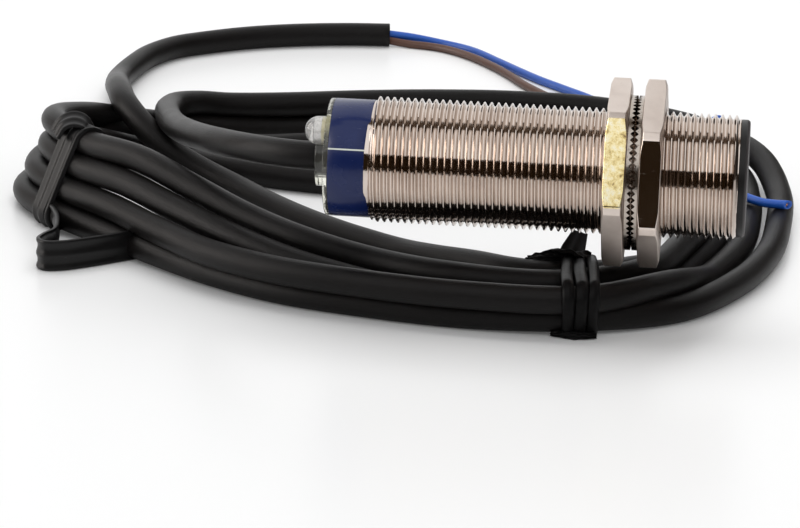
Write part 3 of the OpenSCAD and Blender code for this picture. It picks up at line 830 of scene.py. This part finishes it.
def sensing_cap(nodes):
    """The end face shows its plastic's dark grey; the side is kept near black as painted shade."""
    plain = moulded((0.006, 0.0055, 0.0055), 0.34)(nodes)
    # painted shade: only the end face gets the plastic's grey, and the cap's side stays near black
    face = nodes.clamp(nodes.object_point().part(0), -0.0004, -0.0001)
    return {**plain, "Base_Color": nodes.mix(face, plain["Base_Color"], (0.052, 0.046, 0.047)),
            "Roughness": plain["Roughness"] + face * 0.12}


black_cap = finish("black_cap_plastic", sensing_cap, Specular_IOR_Level=0.3)
softened_copy("front_cap", "front_cap_moulding", black_cap, "root", "black_cap", 0.08)

# %% [markdown]
# ## Blue label
# Behind the thread a blue film is wrapped round the plain neck, and its two ends meet in a thin pale
# seam. It could be paint on the neck, but a film has a thickness, and its front edge is cut back in
# a shallow step where the bare neck shows. So it is a thin ring of its own, whose edge follows a
# short table of angles.

# %% Label
LABEL_R, LABEL_T = 8.45, 0.1
SEAM_ANGLE = math.radians(180 - 23)
LABEL_FRONT = NECK_FRONT + 0.42
# The step in the front edge: its depth, and its share of that depth at some angles in degrees
STEP_DEPTH, STEP_ANGLES, STEP_SHARE = 0.56, (-40, -27, -21, 20, 50, 54), (0, 0.3, 0.95, 1, 0.62, 0)


def label_film(nodes):
    point = nodes.object_point()
    angle = nodes.math("ARCTAN2", point.part(2), point.part(1))
    away = (angle - SEAM_ANGLE).math("ABSOLUTE")
    seam = 1 - nodes.clamp(away, 0.010, 0.016)
    faint = nodes.noise(300, 4)
    scuff = nodes.clamp(nodes.noise(1, 3, 0.7, stretch=(420, 2600, 2600)), 0.66, 0.8)
    blue = nodes.mix(faint, (0.004, 0.011, 0.066), (0.008, 0.019, 0.095))
    worn = nodes.mix(scuff * 0.25, blue, (0.25, 0.28, 0.4))
    return {"Base_Color": nodes.mix(seam, worn, (0.72, 0.76, 0.70)),
            "Roughness": 0.2 + faint * 0.12 + scuff * 0.2,
            "Normal": nodes.bump(faint * 0.6 + nodes.noise(3000, 2) * 0.4, 0.00003)}


def label_mesh():
    """Blue film with a shallow step cut in its front edge, where the bare neck shows beside it."""
    turn = np.linspace(0, 2 * math.pi, 180, endpoint=False)
    hollow = np.interp(180 - np.degrees(turn), STEP_ANGLES, STEP_SHARE)

    def ring(x, radius, depth):
        return [((x - depth * cut) * MM, radius * math.cos(a) * MM, radius * math.sin(a) * MM)
                for a, cut in zip(turn, hollow)]

    inner, outer, soft = LABEL_R - LABEL_T, LABEL_R, 0.03
    x0, x1 = NECK_REAR, LABEL_FRONT
    rings = [ring(x0, inner, 0), ring(x0, outer - soft, 0), ring(x0 + soft, outer, 0),
             ring(x1 - soft, outer, STEP_DEPTH), ring(x1, outer - soft, STEP_DEPTH),
             ring(x1, inner, STEP_DEPTH)]
    return tidy_mesh(rings_to_mesh("label", rings, closed_path=True), 60)


film = finish("blue_label_film", label_film, Specular_IOR_Level=0.3, Coat_Weight=0.12,
              Coat_Roughness=0.08)
label = new_object("label_film", label_mesh(), film, "root", "blue_label", "label_band")
print("label", len(label.data.polygons), "faces")

# %% [markdown]
# ## Clear cap and light
# The barrel is closed by a clear cap: a flange, a boss round the cable and a hole for the light.
# Clear parts keep the exact CAD shape with softened edges, because a clear part shows every face
# behind its front. The cap is slightly yellow and a little hazy. Through the light's lens one sees
# the bright cup that its chip sits in, and round that a gold-plated frame.

# %% Clear cap and light
cap_plastic = finish("clear_cap_plastic",
                     mottled(700, 3, (0.93, 0.94, 0.82), (0.97, 0.96, 0.88), 0.03, 0.07, 0.00004),
                     Transmission_Weight=0.95, IOR=1.49)
lens_epoxy = finish("clear_lens_epoxy",
                    mottled(900, 2, (0.93, 0.92, 0.90), (0.98, 0.97, 0.96), 0.02, 0.05, 0.00003),
                    Transmission_Weight=0.74, IOR=1.53)
tin = finish("tinned_wire",
             mottled(1200, 4, (0.55, 0.54, 0.53), (0.86, 0.85, 0.83), 0.12, 0.25, 0.00003),
             Metallic=1.0)
gold = finish("gold_frame",
              mottled(1500, 3, (0.34, 0.29, 0.10), (0.78, 0.72, 0.42), 0.2, 0.2, 0.00002),
              Metallic=1.0)
softened_copy("rear_cap", "clear_rear_cap", cap_plastic, "root", "clear_cap", 0.18, 3)
softened_copy("led_lens", "light_lens", lens_epoxy, "root", "clear_lens", 0.06)

LED_AT, LED_AROUND = (-2.2, 4.4), 48   # y and z of the light's axis, points round it
# x, radius and fillet of each corner of the two profiles
CUP = [(-61.5, 0.35, 0), (-61.9, 1.25, 0.05), (-61.75, 1.4, 0.05), (-59.6, 1.4, 0.05),
       (-59.6, 0.35, 0)]
FRAME = [(-60.75, 1.62, 0.04), (-60.75, 1.9, 0.04), (-59.3, 1.9, 0.04), (-59.3, 1.62, 0.04)]
for name, profile, metal in (("light_reflector", CUP, tin), ("light_frame", FRAME, gold)):
    rings = turned_rings(rounded(profile), LED_AROUND, LED_AT)
    mesh = tidy_mesh(rings_to_mesh(name, rings, closed_path=True))
    new_object(name, mesh, metal, "root", "tinned_wire")
    print(name, len(mesh.polygons), "faces")

# %% [markdown]
# ## Nuts
# The nuts are cut from hexagon bar and turned back on both faces, which leaves a curved bevel on
# each corner. The CAD node already has those curves, so the finished nut is that shape with its
# sharp edges rounded by a tenth of a millimetre: enough to catch a line of light.

# %% Nuts
for node, metal in (("front_nut", nut_nickel), ("rear_nut", rear_nut_nickel)):
    softened_copy(node, node + "_finished", metal, node, "nickel_nut", 0.12, 3, 20)

# %% [markdown]
# ## Lock washers
# Each washer is a nickel-plated ring whose face towards the other washer is cut into a crown of
# sharp teeth. The two crowns nearly meet, so the gap between them is a dark zigzag. A ring is turned
# with a few columns to each tooth, and a tree moves each point of its toothed face by a triangle
# wave of its angle. Cutting the teeth one by one would leave slivers where the cuts meet.

# %% Washers
TEETH, TOOTH_H, COLUMNS = 72, 0.46, 6
WASHER_IN, WASHER_OUT, WASHER_EDGE = 9.1, 11.05, 0.08
POINTEDNESS = 1.15   # over 1, so that the valleys have a narrow flat


def washer_tree(nodes, blank, toothed_x, tooth_height, out, teeth):
    place = nodes.add("GeometryNodeInputPosition")
    angle = nodes.math("ARCTAN2", place.part(2), place.part(1))
    wave = (angle * teeth / (2 * math.pi)).wave() * 2
    on_face = (place.part(0) - toothed_x).math("ABSOLUTE") < tooth_height / 2
    cut = (wave * POINTEDNESS).math("MINIMUM", 1.0) * tooth_height * on_face * out
    return nodes.add("GeometryNodeSetPosition", {}, {"Geometry": blank, "Offset": nodes.add(
        "ShaderNodeCombineXYZ", {}, {0: cut * -1})})


def plated_steel(nodes):
    patch = nodes.noise(700, 4, 0.6)
    low = nodes.clamp(nodes.noise(2400, 3, 0.6), 0.55, 0.7)
    tone = nodes.mix(patch, (0.38, 0.33, 0.285), (0.62, 0.555, 0.50))
    return {"Base_Color": nodes.mix(low * 0.5, tone, (0.16, 0.12, 0.09)),
            "Roughness": 0.12 + patch * 0.14, "Normal": nodes.bump(patch, 0.00002)}


washer_nickel = finish("washer_nickel", plated_steel, Metallic=1.0)
for node, out in (("front_washer", -1), ("rear_washer", 1)):
    smooth_x, toothed_x = [corner[0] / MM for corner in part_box(node)][::out]
    corners = [(smooth_x, WASHER_IN), (smooth_x, WASHER_OUT - WASHER_EDGE),
               (smooth_x + out * WASHER_EDGE, WASHER_OUT), (toothed_x, WASHER_OUT),
               (toothed_x, (WASHER_IN + WASHER_OUT) / 2), (toothed_x, WASHER_IN)]
    blank = rings_to_mesh(node + "_blank", turned_rings(corners, TEETH * COLUMNS), closed_path=True)
    mesh = grow(node + "_crown", {
        "Toothed face": toothed_x * MM, "Tooth height": TOOTH_H * MM, "Outwards": float(out),
        "Teeth": TEETH}, washer_tree, washer_nickel, blank)
    new_object(node + "_finished", tidy_mesh(mesh, 20), washer_nickel, node, "nickel_washer", node)

# %% [markdown]
# ## Twist ties
# Two black twist ties hold the coil. A tie is a plastic ribbon with a soft wire down its middle and
# a raised edge on each side. Pulled tight, it takes the outline of the strands inside it, so that
# outline is worked out: where the cable crosses a plane, each strand is a circle, and the tie is
# their convex hull, grown a little. One hull for each column of the ribbon's section gives the band.
# A band drawn by hand would cut into one strand and hang off the next.


# %% Hull of the strands
NEARBY, CIRCLE_POINTS = 15, 60   # millimetres, and points of each strand's circle


def strands_at(way, distance, near):
    """Centres of the cable where it crosses a plane, kept to those near a point."""
    ahead = cable_path[:, :2] @ way - distance
    centres = []
    for i in np.nonzero(ahead[:-1] * ahead[1:] <= 0)[0]:
        u = ahead[i] / (ahead[i] - ahead[i + 1])
        p = cable_path[i] * (1 - u) + cable_path[i + 1] * u
        if np.linalg.norm(p[:2] - near) < NEARBY:
            centres.append(p)
    return centres


def convex_hull(spots):
    spots = sorted(set(map(tuple, np.round(spots, 6))))
    hull = []
    for row in (spots, spots[::-1]):
        side = []
        for p in row:
            while len(side) > 1 and np.cross(np.subtract(side[-1], side[-2]),
                                             np.subtract(p, side[-1])) <= 0:
                side.pop()
            side.append(p)
        hull += side[:-1]
    return np.array(hull)


def hull_loop(way, distance, near, off, count):
    """Evenly spaced points of a tight loop round the strands, off them by so many millimetres."""
    across = np.array([-way[1], way[0]])
    turn = np.linspace(0, 2 * math.pi, CIRCLE_POINTS, endpoint=False)
    radius = CABLE_D / 2 + off
    spots = [(p[:2] @ across + radius * math.cos(a), p[2] + radius * math.sin(a))
             for p in strands_at(way, distance, near) for a in turn]
    hull = convex_hull(spots)
    middle = hull.mean(axis=0)
    bearing = np.arctan2(*(hull - middle).T[::-1]) % (2 * math.pi)
    hull = hull[np.argsort(bearing)]
    closed = np.vstack([hull, hull[:1]])
    far = travelled(closed)
    even = np.linspace(0, far[-1], count, endpoint=False)
    a, z = (np.interp(even, far, closed[:, k]) for k in (0, 1))
    flat = np.outer(np.full(count, distance), way) + np.outer(a, across)
    return np.column_stack([flat, np.maximum(z, FLOOR)])


RIGHT_WAY, LEFT_WAY = unit((1, 0.09)), unit((-0.45, 0.89))
RIGHT_AT, LEFT_AT = np.array((-24.0, 0.0)), np.array((-104.5, 34.0))
print("strands in the right tie:", len(strands_at(RIGHT_WAY, -23.4, RIGHT_AT)),
      "and in the left tie:", len(strands_at(LEFT_WAY, 76.0, LEFT_AT)))

# %% [markdown]
# ## Bands and loose ends
# The left tie is one flat band whose ends stick out: one lies over the top, the other runs down and
# makes a loop on the floor. The right tie is twisted tight, so that three round wraps lie side by
# side, with a crumpled twist above them. All are one section carried along: round the hull for a
# band, and along placed points for a loose end, because a wire keeps the bend that it was given.

# %% Sections of the ties
# Place across the ribbon and height of its surface: a thin raised edge, a valley, the wire
TIE_SECTION = [(0, 0.10), (0.02, 0.30), (0.07, 0.36), (0.12, 0.26), (0.2, 0.04), (0.3, 0.02),
               (0.38, 0.14), (0.45, 0.34), (0.5, 0.38), (0.55, 0.34), (0.62, 0.14), (0.7, 0.02),
               (0.8, 0.04), (0.88, 0.26), (0.93, 0.36), (0.98, 0.30), (1, 0.10)]
WRAP_SECTION = [(0, -0.1), (0.06, 0.18), (0.2, 0.36), (0.36, 0.46), (0.5, 0.5), (0.64, 0.46),
                (0.8, 0.36), (0.94, 0.18), (1, -0.1)]
TIE_T, AROUND_TIE = 0.3, 160
OFF_STRANDS, LOOSEST, RIBBON_STEP = 0.03, 0.5, 0.3
FRONT_RELIEF, BACK_RELIEF = 0.6, 0.4   # share of the section's height on the faces of a loose end
print("points in a tie's section:", len(TIE_SECTION), "and in a wrap's:", len(WRAP_SECTION))


# %% Shaping the ties
def tie_band(way, near, start, width, section, sway=0.0, phase=0.0, loose=0.0):
    """Rings of a band that goes once round the strands."""
    turn = np.linspace(0, 2 * math.pi, AROUND_TIE, endpoint=False)
    shift = np.outer(sway * np.sin(2 * turn + phase), [*way, 0])
    slack = loose * (1 + np.sin(3 * turn + phase)) / 2

    def column(u, height):
        tight, slackest = (hull_loop(way, start + width * u, near, off + height, AROUND_TIE)
                           for off in (OFF_STRANDS, OFF_STRANDS + LOOSEST))
        loop = tight + (slackest - tight) * (slack[:, None] / LOOSEST)
        loop[:, 2] = np.maximum(loop[:, 2], FLOOR)
        return loop + shift

    outside = [column(u, TIE_T + h) for u, h in section]
    inside = [column(u, 0) for u, _ in section[::-1]]
    return np.array(outside + inside).transpose(1, 0, 2) * MM


def loose_ribbon(points, across, width, crumple=0.0):
    """Rings of a free length of tie. across is its sideways direction at each point."""
    route = smooth_path(over_floor(points), RIBBON_STEP)
    knots = np.linspace(0, 1, len(points))
    place = np.linspace(0, 1, len(route))
    width = np.interp(place, np.linspace(0, 1, len(width)), width)
    rings = []
    for i, (p, tangent) in enumerate(zip(route, np.gradient(route, axis=0))):
        tangent = unit(tangent)
        side = np.array([np.interp(place[i], knots, [a[k] for a in across]) for k in range(3)])
        side = unit(side - tangent * side.dot(tangent))
        face = np.cross(tangent, side)
        row = []
        for reverse in (False, True):
            for u, h in (TIE_SECTION[::-1] if reverse else TIE_SECTION):
                lift = -(TIE_T / 2 + h * BACK_RELIEF) if reverse else TIE_T / 2 + h * FRONT_RELIEF
                # two waves that never fall together again, so that no fold is like the next
                fold = crumple * math.sin(i * 0.9 + u * 7) * math.sin(i * 0.37 + u * 3)
                row.append(p + side * (u - 0.5) * width[i] + face * (lift + fold))
        rings.append(row)
    rings = np.array(rings)
    rings[:, :, 2] = np.maximum(rings[:, :, 2], FLOOR)
    return rings * MM


print("a band has", AROUND_TIE, "columns round the strands")


# %% Plastic of the ties
def tie_plastic(nodes):
    """Black PVC with slow rubs of gloss and a little pale dust."""
    rub = nodes.noise(380, 4, 0.6)
    fine = nodes.noise(3600, 2, 0.6)
    dust = nodes.clamp(nodes.noise(1400, 3, 0.8), 0.66, 0.78)
    worn = nodes.mix(dust * 0.3 + rub * 0.05, (0.0045, 0.0043, 0.0045), (0.07, 0.067, 0.065))
    return {"Base_Color": worn, "Roughness": 0.27 + rub * 0.14,
            "Normal": nodes.bump(fine * 0.3 + rub * 0.7, 0.00005)}


tie_black = finish("tie_plastic", tie_plastic, Specular_IOR_Level=0.24)
# painted shade: the wraps get the tie's plastic with a far weaker reflection, as the barrel shades
# them
wrap_black_shaded = finish("wrap_plastic_shaded", tie_plastic, Specular_IOR_Level=0.06)


def make_tie(name, node, bands, ribbons, plastic):
    parts = [rings_to_mesh(name + "_part", rings, closed_path=closed)
             for group, closed in ((bands, True), (ribbons, False)) for rings in group]
    mesh = joined(bpy.data.meshes.new(name), *parts)
    mesh.set_sharp_from_angle(angle=math.radians(45))
    print(name, "has", len(mesh.polygons), "faces")
    new_object(name, mesh, plastic, "root", "tie_black", node)


print("plastics:", tie_black.name, wrap_black_shaded.name)


# %% Left tie
UPRIGHT, LEFT_SIDE = (0, 0, 1), (*LEFT_WAY, 0)
floor_loop = loose_ribbon([
    (-105.9, 33.5, 1.2), (-105.4, 28, 2.2), (-103.6, 21.5, 2.4), (-102.9, 15.4, 2.4),
    (-104.0, 12.2, 2.4), (-104.3, 9.9, 2.4), (-103.1, 8.4, 2.4), (-100.6, 8.9, 2.4),
    (-97.5, 11, 2.4), (-92.8, 15, 2.4), (-90.8, 16.7, 2.4)],
    [LEFT_SIDE, (-0.3, 0.5, 0.8)] + [UPRIGHT] * 9, [4.4, 4.6, 4.6])
OVER = (-0.1, 0.95, 0.3)
top_end = loose_ribbon([
    (-106.2, 33.4, 14.2), (-105.2, 33.6, 15.8), (-103.5, 33.9, 16.5), (-102.0, 34, 16.1),
    (-100.9, 33.8, 14.8), (-100.2, 33.6, 13.6)],
    [LEFT_SIDE, (-0.3, 0.9, 0.2)] + [OVER] * 4, [4.4, 4.2, 3.8, 2.8])
loose_tip = loose_ribbon([
    (-101.4, 33.6, 14.6), (-100.2, 33.2, 14.0), (-99.2, 32.9, 13.2), (-98.5, 32.6, 12.3),
    (-98.1, 32.4, 11.3)],
    [OVER] * 5, [1.6, 1.5, 0.9])
LEFT_START, LEFT_WIDTH = 73.8, 4.6
make_tie("left_twist_tie", "left_tie",
         [tie_band(LEFT_WAY, LEFT_AT, LEFT_START, LEFT_WIDTH, TIE_SECTION)],
         [floor_loop, top_end, loose_tip], tie_black)

# %% Right tie
# Where each wrap starts, its width, how far it sways, where in its sway it begins, how loose it is
WRAPS = ((-26.0, 1.75, 0.16, 0.4, 0.35), (-24.2, 1.95, 0.1, 2.0, 0.1), (-22.2, 1.6, 0.06, 4.1, 0.2))
wraps = [tie_band(RIGHT_WAY, RIGHT_AT, start, width, WRAP_SECTION, sway, phase, loose)
         for start, width, sway, phase, loose in WRAPS]
ALONG_X = (1, 0, 0)
stub = loose_ribbon([(-25.1, 3.8, 7.2), (-25.0, 5.2, 8.0), (-24.5, 7.0, 9.1), (-24.0, 9.0, 10.3)],
                    [ALONG_X, ALONG_X, (1, 0.2, 0), (1, 0.3, 0)], [3.8, 3.4, 2.3])
crumpled = loose_ribbon([
    (-31.4, 5.2, 7.0), (-29.6, 4.6, 7.4), (-27.6, 4.2, 7.9), (-25.6, 4.0, 8.3), (-23.8, 4.4, 8.3),
    (-22.2, 4.6, 7.7)],
    [(0.1, 1, 0.1), (0.1, 0.8, 0.6), (0, 0.2, 1), (0, -0.7, 0.8), (0.2, -1, 0.1), (0, -0.8, -0.5)],
    [1.0, 2.0, 2.9, 2.4], crumple=0.24)
front_curl = loose_ribbon([
    (-26.6, -8.9, 0.5), (-25.4, -9.5, 0.6), (-23.4, -9.8, 0.6), (-21.4, -9.6, 0.6),
    (-20.2, -8.9, 0.5)],
    [UPRIGHT] * 5, [0.7, 1.2, 0.7], crumple=0.1)
make_tie("right_twist_tie", "right_tie", wraps, [stub, crumpled, front_curl], wrap_black_shaded)

# %% [markdown]
# ## Inside the barrel
# The CAD model holds what such a sensor has inside: a ferrite pot core with its bobbin and winding
# behind the face, a circuit board with its parts, and resin round them. Those nodes keep their CAD
# shape, so only their finishes are made here, on the coordinates of each node.


# %% Finishes of the inner parts
def speckled(dark, light, scale, low, high, gloss):
    """A base colour with specks of a second one, for ceramic, resin and ferrite."""
    def build(nodes):
        specks = nodes.clamp(nodes.noise(scale, 4, 0.7), low, high)
        slow = nodes.noise(180, 3)
        return {"Base_Color": nodes.mix(specks * 0.8 + slow * 0.1, dark, light),
                "Roughness": gloss + slow * 0.15, "Normal": nodes.bump(specks, 0.00003)}
    return build


def wound_copper(nodes):
    """Enamelled wire lying turn beside turn round the barrel's axis."""
    point = nodes.object_point()
    turn = (point.part(0) * 5000).wave() * 2
    wear = nodes.noise(900, 3)
    return {"Base_Color": nodes.mix(turn, (0.56, 0.24, 0.10), (0.22, 0.08, 0.03)),
            "Roughness": 0.28 + wear * 0.15, "Normal": nodes.bump(1 - turn * turn, 0.00006)}


def solder_mask(nodes):
    """Green mask over copper tracks that run along the board, with round lands between them."""
    point = nodes.object_point()
    rows = (point.part(1) * 700).wave()
    broken = nodes.noise(1, 1, vector=point, stretch=(260, 700, 260))
    track = (rows < 0.22) * (broken > 0.46)
    lands = nodes.add("ShaderNodeTexVoronoi", {"feature": "F1"}, {"Vector": point, "Scale": 320.0})
    land = lands < 0.22
    green = nodes.mix(track, (0.012, 0.10, 0.035), (0.03, 0.19, 0.06))
    return {"Base_Color": nodes.mix(land, green, (0.62, 0.60, 0.55)),
            "Roughness": 0.35 - track * 0.1, "Metallic": land * 0.8,
            "Normal": nodes.bump(track * 0.5 + land * 0.5, 0.00004)}


BETWEEN_CORES = 0.00082   # y in metres


def two_insulations(nodes):
    """The blue and the brown core lie side by side, so their place across tells them apart."""
    brown = nodes.object_point().part(1) > BETWEEN_CORES
    grit = nodes.noise(2200, 3)
    return {"Base_Color": nodes.mix(brown, (0.006, 0.07, 0.42), BROWN_PVC),
            "Roughness": 0.3 + grit * 0.15, "Normal": nodes.bump(grit, 0.00002)}


print("inner finishes ready")

# %% Painting the inner parts
FERRITE = speckled((0.035, 0.035, 0.04), (0.11, 0.11, 0.12), 2600, 0.5, 0.7, 0.5)
CERAMIC = speckled((0.36, 0.24, 0.12), (0.50, 0.37, 0.21), 1800, 0.4, 0.6, 0.4)
RESISTOR_FILM = speckled((0.02, 0.02, 0.022), (0.10, 0.10, 0.11), 3000, 0.55, 0.7, 0.4)
RESIN = speckled((0.13, 0.105, 0.085), (0.24, 0.20, 0.16), 900, 0.45, 0.75, 0.35)
DRAWN_COPPER = mottled(1600, 3, (0.50, 0.21, 0.09), (0.78, 0.40, 0.22), 0.22, 0.25, 0.00002)
INNER_FINISHES = {
    "ferrite_core": finish("ferrite", FERRITE),
    "coil_bobbin": finish("bobbin_nylon", moulded((0.72, 0.69, 0.58), 0.4), Subsurface_Weight=0.1),
    "coil_winding": finish("wound_copper", wound_copper, Metallic=1.0),
    "coil_leads": finish("drawn_copper", DRAWN_COPPER, Metallic=1.0),
    "led_leads": tin,
    "circuit_board": finish("solder_mask", solder_mask),
    "oscillator_chip": finish("chip_epoxy", moulded((0.022, 0.022, 0.024), 0.45)),
    "output_transistor": finish("transistor_epoxy", moulded((0.028, 0.028, 0.03), 0.5)),
    "capacitors": finish("capacitor_ceramic", CERAMIC),
    "resistors": finish("resistor_film", RESISTOR_FILM),
    "board_wires": finish("board_wire_insulation", two_insulations),
    "potting": finish("potting_resin", RESIN),
}
for node, material in INNER_FINISHES.items():
    for slot in frame["nodes"][node].material_slots:
        slot.material = material
print("inner parts finished:", len(INNER_FINISHES))

# %% [markdown]
# ## Floor
# The sensor lies on a glossy white sheet. The sheet keeps the soft shadow and a dim reflection of
# the cable, and fades to pure white away from it. A brighter lamp would whiten it too, but would
# wash out the nickel, so the sheet glows a little where it is looked at directly instead.


# %% Floor
def plane(name, corners, material):
    """A flat piece of the studio, which isn't part of the object."""
    mesh = bpy.data.meshes.new(name)
    mesh.from_pydata([Vector(c) for c in corners], [], [(0, 1, 2, 3)])
    mesh.materials.append(material)
    piece = linked(name, mesh)
    return piece


def lying(x0, y0, x1, y1, z):
    """Corners of a level rectangle whose face looks up."""
    return [(x0, y0, z), (x1, y0, z), (x1, y1, z), (x0, y1, z)]


def standing(x0, y0, x1, y1, low, high):
    """Corners of an upright rectangle over the line from one point of the floor to another."""
    return [(x0, y0, low), (x1, y1, low), (x1, y1, high), (x0, y0, high)]


FLOOR_GLOW = 0.06
floor_z = FLOOR * MM
sheet = finish("white_sheet", lambda nodes: {}, Base_Color=(0.86, 0.86, 0.86), Roughness=0.3,
               IOR=1.5, Emission_Color=(1.0, 1.0, 1.0))
is_camera_ray = Nodes(sheet.node_tree).add("ShaderNodeLightPath")
sheet.node_tree.links.new((is_camera_ray * FLOOR_GLOW).socket,
                          sheet.node_tree.nodes["Principled BSDF"].inputs["Emission Strength"])
plane("floor", lying(-4, -2.2, 4, 8, floor_z), sheet)
print("floor at", floor_z)

# %% [markdown]
# ## What the metal reflects
# Polished nickel shows whatever stands round it, and has next to no look of its own. A product
# studio therefore hangs cards round the object: dark ones give the bands along the thread and on the
# nuts, a pale one the bright edges of the cable. Here they are flat panels that glow, seen only by
# reflections, so that they neither light the object nor shade it. Their places are in metres.


# %% Cards round the object
def card(name, corners, shade, from_above_only=False):
    """A panel of one shade. From below, one with from_above_only lets reflections through."""
    material = bpy.data.materials.new(name)
    material.use_nodes = True
    tree = material.node_tree
    tree.nodes.remove(tree.nodes["Principled BSDF"])
    nodes = Nodes(tree)
    glow = nodes.add("ShaderNodeEmission", {}, {"Color": (*shade, 1), "Strength": 1.0})
    if from_above_only:
        back = nodes.add("ShaderNodeNewGeometry", output="Backfacing")
        clear = nodes.add("ShaderNodeBsdfTransparent")
        glow = nodes.add("ShaderNodeMixShader", {}, {0: back, 1: glow, 2: clear})
    tree.links.new(glow.socket, tree.nodes["Material Output"].inputs["Surface"])
    panel = plane(name, corners, material)
    panel.visible_camera = panel.visible_diffuse = panel.visible_shadow = False
    panel.visible_transmission = panel.visible_volume_scatter = False


REACH, WIDTH = 1.0, 2.0
BROWN_SHADE = (0.02, 0.012, 0.006)
FRONT_TOP = REACH * math.tan(math.radians(24.5))
TABLE_EDGE, JUST_OVER = -0.16, 0.0005
card("dark_table_edge", lying(-WIDTH, -REACH, WIDTH, TABLE_EDGE, floor_z + JUST_OVER), BROWN_SHADE,
     from_above_only=True)
CARDS = {
    "dark_front_strip": (standing(-WIDTH, -REACH, WIDTH, -REACH, floor_z, FRONT_TOP), BROWN_SHADE),
    "grey_left_panel": (standing(-REACH, -REACH, -REACH, REACH, floor_z, 0.7), (0.26, 0.22, 0.19)),
    "dark_right_panel": (standing(REACH, -REACH, REACH, REACH, floor_z, 1.4), (0.05, 0.042, 0.036)),
    "bright_left_panel": (standing(-0.99, -0.7, -0.99, 0.35, 0.04, 0.8), (4.0, 3.82, 3.68)),
    "dark_back_right_panel": (standing(0.10, 0.97, 0.96, 0.97, floor_z, 0.55), (0.06, 0.053, 0.05)),
    "dark_overhead_strip": (lying(-WIDTH, -0.08, WIDTH, 0.24, 1.0), (0.10, 0.075, 0.055)),
}
for name, (corners, shade) in CARDS.items():
    card(name, corners, shade)
print("cards:", len(CARDS) + 1)

# %% [markdown]
# ## Lamps and world
# Two large soft lamps, one over the object and one in front, give the plain studio light. They stay
# out of reflections, because the cards above stand for all that the metal shows. The world is white
# to the camera, to reflections and through clear plastic, and dimmer as a light on the object.


# %% Lamps and world
LAMP_TARGET = Vector((-0.05, 0.03, 0))
WORLD_LIGHT = 0.45


def soft_lamp(name, place, size, power):
    """A rectangular lamp, with its place and size in metres, aimed at the middle of the object."""
    data = bpy.data.lights.new(name, "AREA")
    data.shape, data.size, data.size_y, data.energy = "RECTANGLE", *size, power
    lamp = linked(name, data)
    aim = LAMP_TARGET - Vector(place)
    lamp.matrix_world = Matrix.Translation(place) @ aim.to_track_quat("-Z", "Y").to_matrix().to_4x4()
    lamp.visible_glossy = lamp.visible_transmission = False


soft_lamp("lamp_over", (-0.1, 0.35, 1.1), (1.3, 1.0), 9)
soft_lamp("lamp_front", (0.2, -0.75, 0.95), (1.2, 0.7), 4)
world = bpy.data.worlds.new("studio")
scene.world = world
world.use_nodes = True
background = world.node_tree.nodes["Background"]
ray = Nodes(world.node_tree).add("ShaderNodeLightPath")
seen = ray.math("MAXIMUM", ray.other("Is Glossy Ray"))
seen = seen.math("MAXIMUM", ray.other("Is Transmission Ray"))
background.inputs["Color"].default_value = (1, 1, 1, 1)
strength = WORLD_LIGHT + seen * (1 - WORLD_LIGHT)
world.node_tree.links.new(strength.socket, background.inputs["Strength"])
print("lamps:", [light.name for light in bpy.data.lights])

# %% [markdown]
# ## Finish
# The picture is shown with the Standard view transform, which leaves colours as they are.

# %% View transform
scene.view_settings.view_transform = "Standard"
